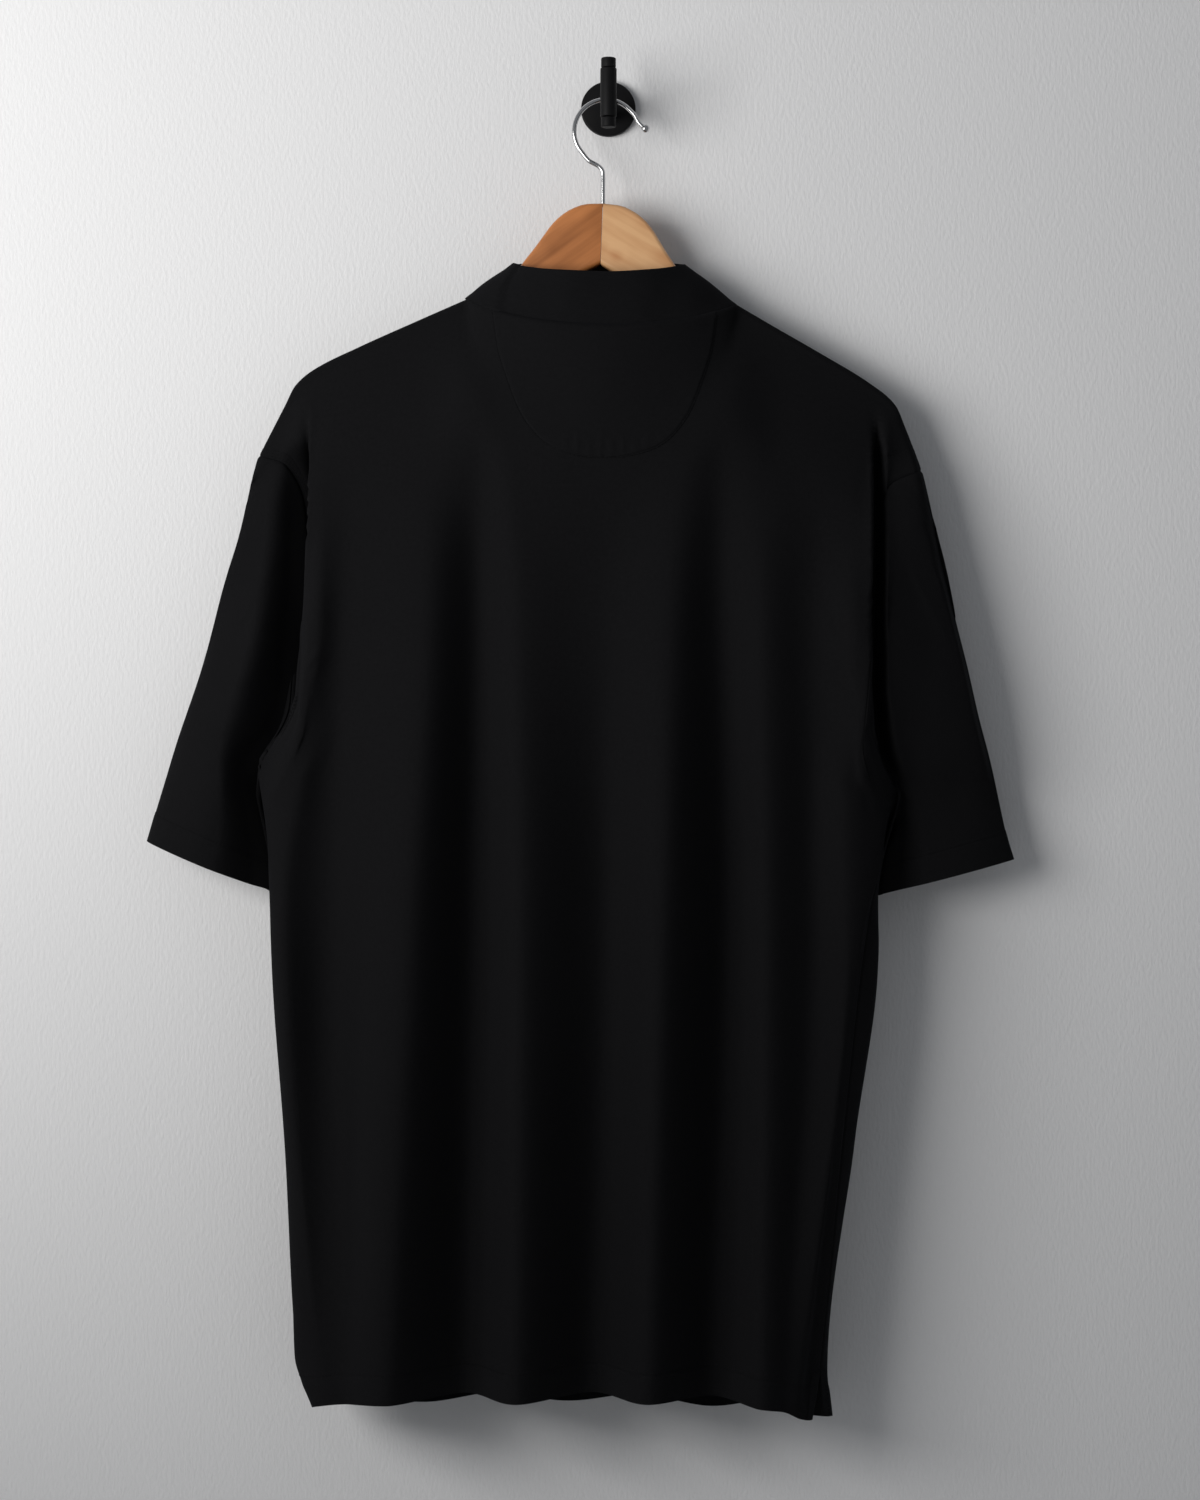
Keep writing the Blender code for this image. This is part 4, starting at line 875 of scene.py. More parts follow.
def panelGrid(panel, rows, across):
    # columns stay at fixed distances from both side seams, and rows from the hem
    dense = np.linspace(0, panel["count"] - 1, cloth["dense"])
    ends = [panelPoints(panel, dense, np.full(len(dense), share)) for share in (0.0, 1.0)]
    tall = np.abs(ends[1][:, 2] - ends[0][:, 2])
    typical = float(np.mean(tall))
    low = hemGaps / typical
    middle = np.linspace(low[-1], topShares[0], rows)
    shares = np.concatenate([low[:-1], middle, topShares[1:]])
    spread = panelPoints(panel, np.tile(dense, len(shares)), np.repeat(shares, len(dense)))
    ats = []
    for line in lengthsAlong(spread.reshape(len(shares), len(dense), 3), 1):
        inner = np.linspace(edgeGaps[-1], line[-1] - edgeGaps[-1], across)[1:-1]
        stops = np.concatenate([edgeGaps, inner, (line[-1] - edgeGaps)[::-1]])
        ats.append(np.interp(stops, line, dense))
    at = np.array(ats)
    share = np.repeat(shares[:, None], at.shape[1], axis=1)
    share = share * (1 + smoothStep(*hemLevel, share) * (typical / np.interp(at, dense, tall) - 1))
    return panelPoints(panel, at, share).reshape(*at.shape, 3), share


def ventShift(panel, points, share, fromLeft, fromRight):
    # below the vents the two panels part: the back's corners turn in, the front's hang behind
    made = np.zeros_like(points)
    parted = np.clip(1 - share / seams["ventTop"], 0, 1) ** vents["power"]
    outward, wallward = vents["back" if panel["back"] else "front"]
    for side, distance, way in (("left", fromLeft, -1), ("right", fromRight, 1)):
        near = smoothStep(vents["reach"], 0.0, distance) * parted * vents[side]
        made[..., 0] += way * outward * near
        made[..., 1] += wallward * near
    swell = np.sin(math.pi * np.clip(share / vents["swellTop"], 0, 1))
    made[..., 0] -= vents["leftSwell"] * smoothStep(vents["reach"], 0.0, fromLeft) * swell
    return made


def panelRelief(points, share, fromLeft, fromRight, fromHem, creases, seed):
    pit = edgeShares[pitRow]
    above = smoothStep(pit + seams["bandStart"][0], pit + seams["bandStart"][1], share)
    full = smoothStep(*seams["bandFullZ"], points[..., 2])
    above = above * (seams["bandFaint"] + (1 - seams["bandFaint"]) * full)
    belowVent = smoothStep(seams["ventTop"], seams["ventTop"] * seams["ventFull"], share)
    made = np.zeros(points.shape[:2])
    for side, distance in (("left", fromLeft), ("right", fromRight)):
        made -= seams["seamDip"] * groove(distance, 0.0, seams["seamWidth"]) * (1 - belowVent)
        made += seams["bandLift"] * edgeBand(distance, seams["bandWidth"][side]) * above
        for row in seams["bandRows"][side]:
            made -= seams["rowDip"] * groove(distance, row, seams["rowWidth"]) * above
        made += seams["hemLift"] * edgeBand(distance, seams["ventBand"]) * belowVent
    made += hemRelief(fromHem)
    nearNeck = smoothStep(*seams["neckSpan"], np.abs(points[..., 0] - neckSeam["mid"]))
    made += neckRidge(fromHem[-1:] - fromHem) * nearNeck
    made += creaseLines(points, creases)
    return made + softDents(points, seed, **panelDents)


backCreases = (
    (0.1671, -0.4255, 0.1817, -0.4591, 0.004, -0.0012),
    (0.159, -0.369, 0.173, -0.406, 0.005, -0.0008),
    (0.1845, -0.475, 0.178, -0.515, 0.0035, -0.0008),
    (0.187, -0.513, 0.191, -0.53, 0.003, -0.0009),
    (-0.208, -0.6, -0.204, -0.93, 0.021, -0.007),
    (-0.177, -0.6, -0.172, -0.93, 0.018, 0.0035),
    (-0.2126, -0.4145, -0.22, -0.4262, 0.0022, 0.001),
    (-0.2273, -0.4686, -0.2302, -0.4935, 0.0022, 0.0007),
    (-0.205, -0.42, -0.218, -0.448, 0.005, -0.0007),
)
frontCreases = (
    (-0.205, -0.41, -0.17, -0.47, 0.006, 0.001),
    (0.175, -0.42, 0.145, -0.49, 0.006, 0.001),
)
# places of both armpits on the back as x, z and reach
armpitCalm = {"places": ((-0.232, -0.472, 0.034), (0.186, -0.49, 0.03)), "rounds": 40, "full": 0.4,
              "pull": 0.9}


def calmArmpits(points):
    # evens out the depth in a patch of the grid around each place; its rim and the seams stay
    weight = np.zeros(points.shape[:2])
    for x, z, reach in armpitCalm["places"]:
        far = np.hypot(points[..., 0] - x, points[..., 2] - z)
        weight = np.maximum(weight, smoothStep(reach, reach * armpitCalm["full"], far))
    weight[:, :1] = weight[:, -1:] = 0.0
    for _ in range(armpitCalm["rounds"]):
        depth = points[..., 1]
        around = depth.copy()
        around[1:-1, 1:-1] = (depth[:-2, 1:-1] + depth[2:, 1:-1] + depth[1:-1, :-2] + depth[1:-1, 2:]) / 4
        points[..., 1] = depth + armpitCalm["pull"] * weight * (around - depth)
    return points


def makePanelPiece(name, panel, creases, node, rows, across, seed):
    points, share = panelGrid(panel, rows, across)
    if panel["back"]:
        points = calmArmpits(points)
    fromLeft = lengthsAlong(points, 1)
    fromRight = fromLeft[:, -1:] - fromLeft
    fromHem = lengthsAlong(points, 0)
    points = points + ventShift(panel, points, share, fromLeft, fromRight)
    if panel["back"]:
        points = foldArmhole(foldArmhole(points, "left"), "right")
    outward = gridNormals(points) * -panel["out"]
    relief = panelRelief(points, share, fromLeft, fromRight, fromHem, creases, seed)
    points = points + outward * relief[..., None]
    uv = np.stack([fromLeft - fromLeft[:, -1:] / 2, fromHem], axis=-1)
    piece = addCloth(name, clothMesh(name, points, uv, panel["back"]), finishes["jersey"], node)
    thicken(piece, cloth["wall"], wallShares(fromHem))
    report(name, points, middle=fromLeft[len(points) // 2, -1], hem=fromLeft[0, -1],
           length=fromHem[-1].mean())
    return piece, (points, outward, share, fromHem)


def stitchPanel(name, points, outward, share, fromHem):
    hemRow = hemRowOf(fromHem, points.shape[1] // 2)
    addStitches(name, points[hemRow], outward[hemRow])
    start = edgeShares[pitRow] + seams["rowStart"]
    for side, rowGaps in seams["bandRows"].items():
        for gap in rowGaps:
            column = nearest(edgeGaps, gap) if side == "left" else -1 - nearest(edgeGaps, gap)
            rows = np.nonzero((share[:, column] > start) & (share[:, column] < seams["rowEnd"]))[0]
            addStitches(name, points[rows, column], outward[rows, column])
    # the vents' own rows, each with a tack across its top
    column = nearest(edgeGaps, seams["ventBand"] - seams["ventRow"])
    for side, band in ((column, slice(None, column + 1)), (-1 - column, slice(-1 - column, None))):
        rows = np.nonzero(share[:, side] < seams["ventTop"])[0]
        addStitches(name, points[rows, side], outward[rows, side])
        for nudge in seams["tackLines"]:
            addStitches(name, points[rows[-1], band] + np.array([0, 0, nudge]), outward[rows[-1], band])
    return addStitching(name)


backPiece, backGrid = makePanelPiece("back_cloth", backPanel, backCreases, "back_panel", **panelGrids["back"])
frontPiece, frontGrid = makePanelPiece("front_cloth", frontPanel, frontCreases, "front_panel",
                                       **panelGrids["front"])
backStitching = stitchPanel("back_stitching", *backGrid)
frontStitching = stitchPanel("front_stitching", *frontGrid)
print("back and front made")

patch = {
    "midX": -0.003, "topHalf": 0.0838, "lowZ": -0.2725, "gap": 0.00055, "lift": 0.00045, "edge": 0.0022,
    "downs": (0.0, 0.245, 0.469, 0.678, 0.839, 0.916, 0.962, 0.993, 1.0),
    "halves": (1.0, 0.951, 0.858, 0.747, 0.597, 0.473, 0.327, 0.155, 0.02),
    "rows": 58, "columns": 78, "spread": 0.999, "wall": 0.001,
    "stitchIn": 0.0009, "stitchDip": 0.00045, "stitchWidth": 0.0009, "stitchRow": 4,
    # small puckers where the thread pulls the lower edge in
    "puckers": (
        (-0.031, -0.255, -0.032, -0.266, 0.002, 0.0004),
        (-0.0225, -0.256, -0.0232, -0.269, 0.0018, 0.0005),
        (-0.014, -0.259, -0.0146, -0.2705, 0.002, 0.0004),
        (-0.006, -0.254, -0.0062, -0.271, 0.0018, 0.0005),
        (0.002, -0.26, 0.0022, -0.2705, 0.002, 0.0004),
        (0.0105, -0.257, 0.011, -0.27, 0.0018, 0.0004),
        (0.019, -0.261, 0.02, -0.268, 0.002, 0.0003),
        (0.028, -0.256, 0.0292, -0.265, 0.0022, 0.0003)),
}
# how the patch's places are found on the back: steps in columns and in share, and rounds
search = {"at": 0.05, "share": 0.004, "rounds": 8, "firstShare": 0.9, "shares": (0.5, 0.9999), "aside": 0.02}


def placeOn(panel, x, z):
    # the column and share of the panel's point at each x and z, found in a few Newton steps
    at = np.full(len(x), (panel["neckLeft"] + panel["neckRight"]) / 2.0)
    share = np.full(len(x), search["firstShare"])
    for _ in range(search["rounds"]):
        here = panelPoints(panel, at, share)
        beside = (panelPoints(panel, at + search["at"], share) - here) / search["at"]
        below = (here - panelPoints(panel, at, share - search["share"])) / search["share"]
        area = beside[:, 0] * below[:, 2] - beside[:, 2] * below[:, 0]
        missX, missZ = x - here[:, 0], z - here[:, 2]
        at = np.clip(at + (missX * below[:, 2] - missZ * below[:, 0]) / area, 1.0, panel["count"] - 2.0)
        share = np.clip(share + (beside[:, 0] * missZ - beside[:, 2] * missX) / area, *search["shares"])
    return at, share


def besideEdge(grid, column, row):
    # down the left side, along the lower edge and up the right side
    lower = grid[-row - 1, column:-1 - column]
    return np.concatenate([grid[:-row, column], lower, grid[:-row, -1 - column][::-1]])


def makePatch():
    down = np.sin(np.linspace(0, math.pi / 2, patch["rows"]))
    half = patch["topHalf"] * eased(patch["downs"], patch["halves"], down)
    across = np.sin(np.linspace(-1, 1, patch["columns"]) * math.pi / 2 * patch["spread"])
    x = patch["midX"] + half[:, None] * across[None, :]
    reach = np.clip((neckSeam["mid"] - x) / neckSeam["half"], -1, 1)
    topZ = ringPoints(neckSeam, (np.arccos(reach) / math.pi).ravel(), True)[:, 2].reshape(x.shape)
    z = topZ + (patch["lowZ"] - topZ) * down[:, None]
    at, share = placeOn(backPanel, x.ravel(), z.ravel())
    base = panelPoints(backPanel, at, share)
    along = (panelPoints(backPanel, at + search["aside"], share)
             - panelPoints(backPanel, at - search["aside"], share))
    upward = base - panelPoints(backPanel, at, share - search["share"])
    normals = unit(np.cross(along, upward)).reshape(*x.shape, 3)
    base = base.reshape(*x.shape, 3)
    fromLeft = lengthsAlong(base, 1)
    sideways = np.minimum(fromLeft, fromLeft[:, -1:] - fromLeft)
    slope = np.abs(np.gradient(half, down * (topZ[:, 0] - patch["lowZ"]).mean()))
    lean = 1 / np.sqrt(1 + slope ** 2)
    fromEdge = np.minimum(sideways * lean[:, None], lengthsAlong(base[::-1], 0)[::-1])
    rise = patch["gap"] + patch["lift"] * smoothStep(0.0, patch["edge"], fromEdge)
    rise = rise - patch["stitchDip"] * groove(fromEdge, patch["stitchIn"], patch["stitchWidth"])
    rise = rise + creaseLines(base, patch["puckers"] + backCreases) + neckRidge(lengthsAlong(base, 0))
    points = base + normals * rise[..., None]
    uv = np.stack([points[..., 0], points[..., 2] + 1.0], axis=-1)
    mesh = clothMesh("neck_patch_cloth", points[::-1], uv[::-1], True)
    piece = addCloth("neck_patch_cloth", mesh, finishes["jersey"], "back_neck_patch")
    thicken(piece, patch["wall"])
    column = max(nearest(sideways[0, :patch["columns"] // 2], patch["stitchIn"]), 1)
    addStitches("patch_stitching", besideEdge(points, column, patch["stitchRow"]),
                besideEdge(normals, column, patch["stitchRow"]))
    return piece


patchPiece = makePatch()
patchStitching = addStitching("patch_stitching")
print("patch made")

collar = {"wall": 0.0026, "tall": 0.043, "steps": 150, "rows": 22, "rollRows": 7,
          "innerLifts": (1, 0.02, 10), "bulge": 0.0008, "bulgeTop": 0.8, "smoothing": 6,
          "footRise": 0.0006, "footWidth": 0.0035, "under": 0.0016,
          # the seam that joins the band's ends, on the viewer's left: its places at foot and rim
          "join": (0.241, 0.13), "joinDip": 0.001, "joinWidth": 0.0012,
          "joinStep": 0.0012, "joinStepFrom": (0.001, -0.004), "joinStepEnd": -0.05,
          "dents": {"seed": 5, "count": 30, "size": (0.008, 0.02), "depth": 0.0005,
                    "box": (-0.1, 0.1, -0.17, -0.12)}}


def wholeRing(ring, shares):
    back, front = ringPoints(ring, shares, True), ringPoints(ring, shares[::-1], False)
    return np.concatenate([back, front[1:-1]])


def joinDent(points, shares, ups, outerRows):
    around = lengthsAlong(points, 1)[:, :len(shares)]
    low, high = collar["join"]
    joinAt = np.array([np.interp(low + (high - low) * up, shares, line) for up, line in zip(ups, around)])
    past = lengthsAlong(points, 1) - joinAt[:, None]
    dent = collar["joinDip"] * groove(past, 0.0, collar["joinWidth"])
    step = smoothStep(*collar["joinStepFrom"], past) * (past > collar["joinStepEnd"])
    return (dent - collar["joinStep"] * step) * outerRows[:, None]


def makeCollar():
    half = collar["steps"] // 2
    even = np.linspace(0, 1, half + 1)
    shares = (1 - np.cos(math.pi * even)) / 2 * 0.5 + even * 0.5  # closer together at both sides
    foot, rim = wholeRing(neckSeam, shares), wholeRing(collarRim, shares)
    ahead = unit(np.roll(foot, -1, axis=0) - np.roll(foot, 1, axis=0)
                 + np.roll(rim, -1, axis=0) - np.roll(rim, 1, axis=0))
    for _ in range(collar["smoothing"]):
        ahead = unit(ahead + 0.5 * (np.roll(ahead, 1, axis=0) + np.roll(ahead, -1, axis=0)))
    upward = rim - foot
    out = unit(np.cross(ahead, upward))
    tall = np.linalg.norm(upward, axis=-1)
    radius = collar["wall"] / 2
    rows, heights = [], []
    for lift in np.linspace(0, 1, collar["rows"]):
        # the foot goes on a little below the neck seam
        lift = lift - (1 - lift) * collar["under"] / collar["tall"]
        height = lift * tall
        swell = collar["bulge"] * math.sin(math.pi * min(lift / collar["bulgeTop"], 1.0))
        swell = swell + collar["footRise"] * groove(np.maximum(height, 0.0), 0.0, collar["footWidth"])
        rows.append(foot + upward * lift + out * swell[:, None] - unit(upward) * radius * lift)
        heights.append(height)
    # over the rim and down the inside
    centre = rim - out * radius - unit(upward) * radius
    for step in range(1, collar["rollRows"] + 1):
        turn = math.pi * step / (collar["rollRows"] + 1)
        rows.append(centre + out * radius * math.cos(turn) + unit(upward) * radius * math.sin(turn))
        heights.append(tall + radius * turn)
    for lift in np.linspace(*collar["innerLifts"]):
        rows.append(foot + upward * lift - out * collar["wall"] - unit(upward) * radius * lift)
        heights.append(2 * tall - lift * tall + radius * math.pi)
    points, heights = np.stack(rows), np.stack(heights)
    uv = np.stack([lengthsAlong(points, 1), heights], axis=-1)
    outerRows = np.arange(len(points)) < collar["rows"] + collar["rollRows"] // 2
    dent = joinDent(points, shares, np.clip(heights[:, 0] / tall[0], 0, 1), outerRows)
    points = points - out[None] * dent[..., None]
    points = points + out[None] * softDents(points, **collar["dents"])[..., None]
    mesh = clothMesh("collar_cloth", points, uv, True, closed=True, ringed=True)
    piece = addCloth("collar_cloth", mesh, finishes["jersey"], "collar")
    report("collar_cloth", points, foot=uv[0, -1, 0], rim=uv[collar["rows"], -1, 0], tall=tall.mean())
    return piece


collarPiece = makeCollar()
print("collar made")

# three hoops down each sleeve, by their outer and inner corners
sleeveRings = {
    "left": {"down": (0.5, 0.72, 1.0), "outerX": (-0.301, -0.3215, -0.344),
             "outerZ": (-0.419, -0.4795, -0.554), "innerX": (-0.262, -0.2565, -0.249),
             "innerY": (-0.038, -0.034, -0.03), "innerZ": (-0.524, -0.552, -0.594),
             "backOut": (0.018, 0.021, 0.024), "frontOut": (0.02, 0.021, 0.022), "skew": 0.72},
    "right": {"down": (0.5, 0.72, 1.0), "outerX": (0.267, 0.2835, 0.303),
              "outerZ": (-0.419, -0.4855, -0.568), "innerX": (0.213, 0.203, 0.194),
              "innerY": (-0.038, -0.034, -0.03), "innerZ": (-0.545, -0.568, -0.596),
              "backOut": (0.016, 0.02, 0.024), "frontOut": (0.02, 0.021, 0.022), "skew": 1.5},
}
sleeve = {"around": 74, "rows": 100, "beyond": 0.1, "dense": 900, "fine": 160, "pitNudge": 1e-6,
          "followsFrom": 0.65, "followsTo": 0.97, "give": 0.0018, "giveShare": 0.5,
          "seeds": {"left": 31, "right": 37}, "dentZs": (-0.6, -0.28),
          "dents": {"count": 40, "size": (0.01, 0.028), "depth": 0.0006}}


def keepInOutline(points, side):
    # cloth that would stand out past the sleeve's outer edge is eased back to it
    way = armholeFolds[side]["way"]
    heights, edges = sleeveEdges[side]
    limit = eased(heights, edges, points[..., 2].ravel()).reshape(points.shape[:-1])
    over = np.maximum(way * (points[..., 0] - limit), 0.0)
    kept = points.copy()
    given = sleeve["give"] * (1 - np.exp(-over / sleeve["give"])) * sleeve["giveShare"]
    kept[..., 0] -= way * (over - given)
    return kept


def sleeveHoop(rings, k, shares):
    # the back bulges most nearer the outer corner on the left, nearer the body on the right
    outer = np.array([rings["outerX"][k], hangerY, rings["outerZ"][k]])
    inner = np.array([rings["innerX"][k], rings["innerY"][k], rings["innerZ"][k]])
    lean = (1 - np.cos(2 * math.pi * shares)) / 2
    points = outer + (inner - outer) * lean[:, None]
    onBack = shares <= 0.5
    skewed = np.where(onBack, lean ** rings["skew"], lean)
    bulge = 2 * np.sqrt(np.clip(skewed * (1 - skewed), 0, 1))
    points[:, 1] += bulge * np.where(onBack, -rings["backOut"][k], rings["frontOut"][k])
    return points


def armholeLines(onLeft):
    # down the back's side seam and up the front's: the shares, the seam, the ridge beside it and the
    # points past it
    lines = []
    for panel in (backPanel, frontPanel):
        edge, ridge = (0, 1) if onLeft else (panel["count"] - 1, panel["count"] - 2)
        dense = np.linspace(edgeShares[pitRow] + sleeve["pitNudge"], 1.0, sleeve["dense"])
        gone = lengthsAlong(panelPoints(panel, np.full(len(dense), edge), dense), 0)
        stops = np.interp(np.linspace(0, gone[-1], sleeve["around"] + 1), gone, dense)
        seam, inside = (panelPoints(panel, np.full(len(stops), column), stops) for column in (edge, ridge))
        lines.append((stops, seam, inside, beyondPoints(panel, onLeft, stops)))
    return [np.concatenate([back[::-1], front[1:-1]]) for back, front in zip(*lines)]


def sleevePoints(side):
    rings = sleeveRings[side]
    shares, seam, ridge, beyond = armholeLines(side == "left")
    half, count = sleeve["around"], len(seam)
    turns = np.linspace(0, 0.5, half + 1)
    around = np.concatenate([turns, 0.5 + turns[1:-1]])
    hoops = [sleeveHoop(rings, k, around) for k in range(len(rings["down"]))]
    # above the armpit the sleeve leaves its seam in the panel's own curve
    follows = (smoothStep(edgeShares[pitRow], sleeve["followsFrom"], shares)
               * smoothStep(1.0, sleeve["followsTo"], shares))[:, None]
    straight = seam + (hoops[0] - seam) * sleeve["beyond"] / rings["down"][0]
    beyond = np.stack([beyond[:, 0], beyond[:, 1], straight[:, 2]], axis=-1)
    mirrored = 2 * seam - straight
    before = mirrored + (ridge - mirrored) * follows
    first = straight + (beyond - straight) * follows
    knots = (-sleeve["beyond"], 0.0, sleeve["beyond"]) + rings["down"]
    values = np.stack([before, seam, first] + hoops)
    # rows lie at fixed distances from the seam and from the hem
    fine = np.linspace(0, 1, sleeve["fine"])
    gone = lengthsAlong(np.stack([eased(knots, values, np.full(count, down)) for down in fine]), 0)
    downs = []
    for line in gone.T:
        inner = np.linspace(topGaps[-1], line[-1] - hemGaps[-1], sleeve["rows"] + 2)[1:-1]
        stops = np.concatenate([topGaps, inner, line[-1] - hemGaps[::-1]])
        downs.append(np.interp(stops, line, fine))
    points = np.stack([eased(knots, values, row) for row in np.array(downs).T])
    points[:, :half + 1] = foldArmhole(points[:, :half + 1], side)
    return keepInOutline(points, side)


def tubeNormals(points):
    wrapped = np.concatenate([points[:, -1:], points, points[:, :1]], axis=1)
    normals = unit(np.cross(wrapped[:, 2:] - wrapped[:, :-2], -np.gradient(points, axis=0)))
    outwards = np.sum(normals * (points - points.mean(axis=1, keepdims=True))) > 0
    return normals if outwards else -normals


def turnOutwards(piece):
    shape = bmesh.new()
    shape.from_mesh(piece.data)
    shape.normal_update()
    middle = sum((v.co for v in shape.verts), start=shape.verts[:1][0].co * 0) / len(shape.verts)
    if sum(face.normal.dot(face.calc_center_median() - middle) for face in shape.faces) < 0:
        bmesh.ops.reverse_faces(shape, faces=shape.faces)
        shape.to_mesh(piece.data)
    shape.free()


def makeSleeve(side):
    name = side + "_sleeve_cloth"
    points = sleevePoints(side)
    fromTop = lengthsAlong(points, 0)
    fromHem = fromTop[-1:] - fromTop
    normals = tubeNormals(points)
    relief = hemRelief(fromHem) - seams["seamDip"] * groove(fromTop, 0.0, seams["seamWidth"])
    box = (points[..., 0].min(), points[..., 0].max(), *sleeve["dentZs"])
    relief = relief + softDents(points, sleeve["seeds"][side], box=box, **sleeve["dents"])
    points = points + normals * relief[..., None]
    around = lengthsAlong(points, 1)
    uv = np.stack([around, 1.0 - fromTop], axis=-1)
    mesh = clothMesh(name, points[::-1], uv[::-1], True, closed=True)
    piece = addCloth(name, mesh, finishes["jersey"], side + "_sleeve")
    turnOutwards(piece)
    thicken(piece, cloth["wall"], wallShares(fromHem[::-1]))
    hemRow = hemRowOf(fromHem, sleeve["around"] // 2)
    addStitches(side + "_sleeve_stitching", points[hemRow], normals[hemRow], closed=True)
    report(name, points, armhole=around[0, -1], cuff=around[-1, -1], outside=fromTop[-1].max(),
           inside=fromTop[-1].min())
    return piece, addStitching(side + "_sleeve_stitching")


leftSleeve, leftStitching = makeSleeve("left")
rightSleeve, rightStitching = makeSleeve("right")
print("sleeves made")

wood = {"top": (-0.0041, -0.0778), "tilt": math.radians(2.4), "thick": 0.012, "gap": 0.00015,
        "rounding": 0.0032, "segments": 5, "roundAbove": 55, "smoothBelow": 35, "points": 110,
        # out from the middle and down from the top
        "outline": (
            (-0.0033, 0.0), (0.012, 0.001), (0.023, 0.005), (0.0315, 0.011), (0.0375, 0.0174),
            (0.044, 0.027), (0.05, 0.036), (0.057, 0.0455), (0.065, 0.0575), (0.075, 0.0685),
            (0.085, 0.0765), (0.098, 0.084), (0.15, 0.1085), (0.202, 0.1365), (0.2172, 0.1436),
            (0.2199, 0.15), (0.2184, 0.1567), (0.2125, 0.1615), (0.2045, 0.1615), (0.16, 0.1345),
            (0.11, 0.1055), (0.068, 0.082), (0.03, 0.062), (-0.0033, 0.0437))}


def roundEdges(piece, width, segments, above):
    edge = piece.modifiers.new("rounding", "BEVEL")
    edge.width = width
    edge.segments = segments
    edge.limit_method = "ANGLE"
    edge.angle_limit = math.radians(above)
    bpy.ops.object.modifier_apply(modifier=edge.name)


def tilted(x, z):
    # from the hanger's own level frame to the scene
    cosine, sine = math.cos(wood["tilt"]), math.sin(wood["tilt"])
    return wood["top"][0] + x * cosine + z * sine, wood["top"][1] - x * sine + z * cosine


def levelled(x, z):
    cosine, sine = math.cos(wood["tilt"]), math.sin(wood["tilt"])
    right, up = x - wood["top"][0], z - wood["top"][1]
    return right * cosine - up * sine, right * sine + up * cosine


def makeHangerHalf(name, way, finish, slotName, node):
    # a disc is laid out along the outline, pulled to its thickness and rounded all along its edges
    fine = evenStops(np.array(wood["outline"]), wood["points"])
    bpy.ops.mesh.primitive_circle_add(vertices=len(fine), fill_type="NGON")
    half = bpy.context.object
    for vertex, (out, down) in zip(half.data.vertices, fine):
        x, z = tilted(way * out, -down)
        vertex.co = (x, hangerY - wood["thick"] / 2, z)
    bpy.ops.object.mode_set(mode="EDIT")
    bpy.ops.mesh.select_all(action="SELECT")
    bpy.ops.mesh.extrude_region_move(TRANSFORM_OT_translate={"value": (0, wood["thick"], 0)})
    bpy.ops.mesh.select_all(action="SELECT")
    bpy.ops.mesh.normals_make_consistent(inside=False)
    bpy.ops.object.mode_set(mode="OBJECT")
    roundEdges(half, wood["rounding"], wood["segments"], wood["roundAbove"])
    # the glued end is cut off flat at the middle
    for vertex in half.data.vertices:
        x, z = levelled(vertex.co.x, vertex.co.z)
        vertex.co.x, vertex.co.z = tilted(way * max(way * x, wood["gap"]), z)
    bpy.ops.object.shade_smooth_by_angle(angle=math.radians(wood["smoothBelow"]))
    return finishPiece(half, name, finish, slotName, node)


deselectAll()
makeHangerHalf("hanger_left_wood", -1, finishes["amberWood"], "amber_wood", "hanger_left")
makeHangerHalf("hanger_right_wood", 1, finishes["paleWood"], "pale_wood", "hanger_right")
print("hanger made")

# the wire from its round end over the top and down to the wood, as x and z, with its turn in degrees
hook = {"wire": 0.00172, "centre": (-0.0018, -0.0236), "radius": 0.0239, "turn": (41, 222, 40),
        "tip": ((0.0277, -0.0214), (0.0245, -0.019), (0.0218, -0.0158), (0.0195, -0.0112)),
        "foot": ((-0.0143, -0.0459), (-0.0088, -0.0487), (-0.0053, -0.0515)),
        "shank": ((-0.0041, -0.054), (-0.0041, -0.08)), "points": 130, "smoothing": 3, "rounds": 4,
        "ball": 0.0031, "ballSegments": 24, "ballRings": 14, "smoothBelow": 50, "merge": 0.00001}


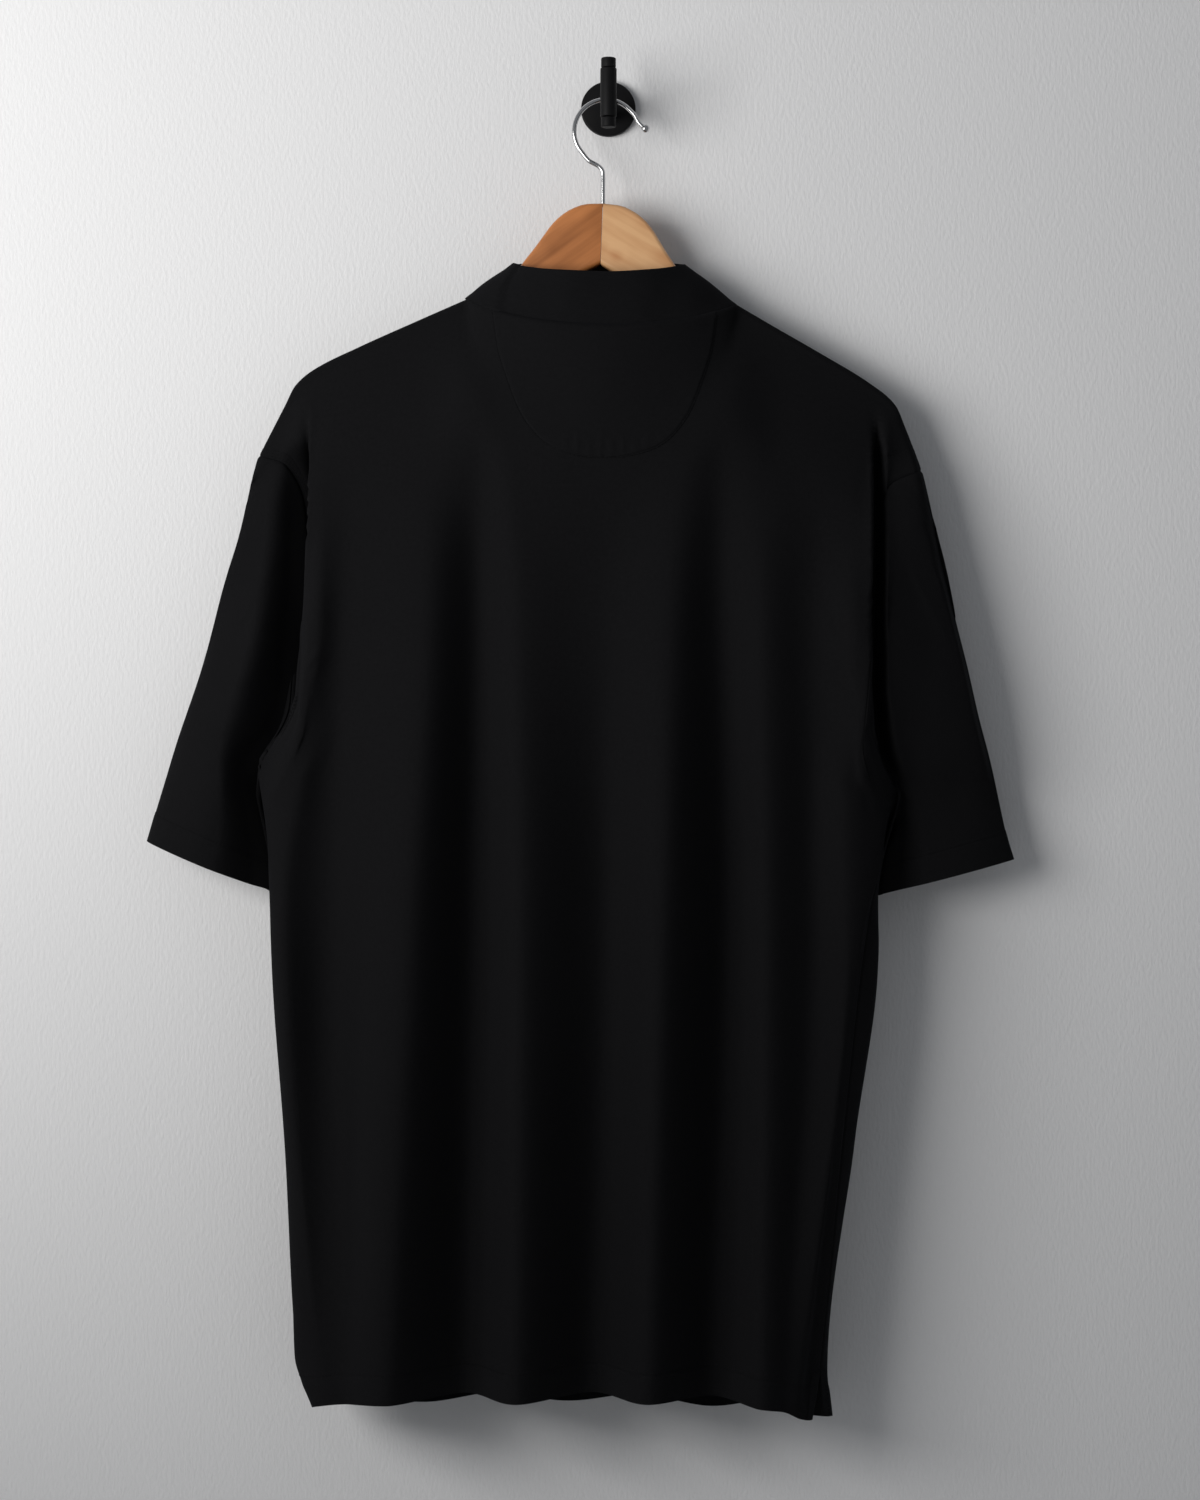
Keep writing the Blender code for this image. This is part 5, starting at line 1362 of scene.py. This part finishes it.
def makeHook():
    route = list(hook["tip"])
    for degrees in np.linspace(*hook["turn"]):
        angle = math.radians(degrees)
        route.append((hook["centre"][0] + hook["radius"] * math.cos(angle),
                      hook["centre"][1] + hook["radius"] * math.sin(angle)))
    fine = evenStops(np.array(route + list(hook["foot"] + hook["shank"])), hook["points"])
    for _ in range(hook["smoothing"]):
        fine[1:-1] = (fine[:-2] + 2 * fine[1:-1] + fine[2:]) / 4
    deselectAll()
    bpy.ops.curve.primitive_bezier_curve_add()
    wire = bpy.context.object
    wire.data.splines.clear()
    spline = wire.data.splines.new("POLY")
    spline.points.add(len(fine) - 1)
    for point, (x, z) in zip(spline.points, fine):
        point.co = (x, hangerY, z, 1.0)
    wire.data.bevel_depth = hook["wire"]
    wire.data.bevel_resolution = hook["rounds"]
    wire.data.use_fill_caps = True
    bpy.ops.object.convert(target="MESH")
    bpy.ops.mesh.primitive_uv_sphere_add(segments=hook["ballSegments"], ring_count=hook["ballRings"],
                                         radius=hook["ball"], location=(fine[0][0], hangerY, fine[0][1]))
    wire.select_set(True)
    bpy.context.view_layer.objects.active = wire
    bpy.ops.object.join()
    bpy.ops.object.mode_set(mode="EDIT")
    bpy.ops.mesh.select_all(action="SELECT")
    bpy.ops.mesh.remove_doubles(threshold=hook["merge"])
    bpy.ops.mesh.normals_make_consistent(inside=False)
    bpy.ops.object.mode_set(mode="OBJECT")
    bpy.ops.object.transform_apply(location=True, rotation=True, scale=True)
    bpy.ops.object.shade_smooth_by_angle(angle=math.radians(hook["smoothBelow"]))
    wire.data.materials.clear()
    return finishPiece(wire, "hanger_hook_wire", finishes["chrome"], "chromed_wire", "hanger_hook")


makeHook()
print("hook made")

wallHook = {"plateRadius": 0.0207, "plateThick": 0.006, "plateRounding": 0.0012,
            "stemRadius": 0.0045, "stemZ": -0.0066, "stemRounding": 0.0004, "stemInPlate": 0.0002,
            "stemInBar": 0.0015, "barY": -0.052, "barZ": 0.002, "barRadius": 0.0061, "barLength": 0.036,
            "barRounding": 0.0007, "capRadius": 0.0055, "capLength": 0.0073, "capRounding": 0.0008,
            "around": 64, "segments": 4, "roundAbove": 60, "smoothBelow": 40}


def makeRound(name, radius, length, place, upright, rounding, node):
    deselectAll()
    bpy.ops.mesh.primitive_cylinder_add(vertices=wallHook["around"], radius=radius, depth=length,
                                        location=place, rotation=(0 if upright else math.pi / 2, 0, 0))
    made = bpy.context.object
    bpy.ops.object.transform_apply(location=True, rotation=True, scale=True)
    roundEdges(made, rounding, wallHook["segments"], wallHook["roundAbove"])
    bpy.ops.object.shade_smooth_by_angle(angle=math.radians(wallHook["smoothBelow"]))
    return finishPiece(made, name, finishes["mattBlack"], "matt_black_metal", node)


makeRound("wall_plate_metal", wallHook["plateRadius"], wallHook["plateThick"],
          (0, -wallHook["plateThick"] / 2, 0), False, wallHook["plateRounding"], "wall_plate")
stemNear = -wallHook["plateThick"] + wallHook["stemInPlate"]
stemFar = wallHook["barY"] + wallHook["barRadius"] - wallHook["stemInBar"]
makeRound("wall_stem_metal", wallHook["stemRadius"], stemNear - stemFar,
          (0, (stemNear + stemFar) / 2, wallHook["stemZ"]), False, wallHook["stemRounding"], "wall_stem")
makeRound("wall_bar_metal", wallHook["barRadius"], wallHook["barLength"],
          (0, wallHook["barY"], wallHook["barZ"]), True, wallHook["barRounding"], "wall_bar")
for capNode, capWay in (("bar_cap_top", 1), ("bar_cap_bottom", -1)):
    capZ = wallHook["barZ"] + capWay * (wallHook["barLength"] / 2 + seamGap + wallHook["capLength"] / 2)
    makeRound(capNode + "_metal", wallHook["capRadius"], wallHook["capLength"],
              (0, wallHook["barY"], capZ), True, wallHook["capRounding"], capNode)
print("wall hook made")
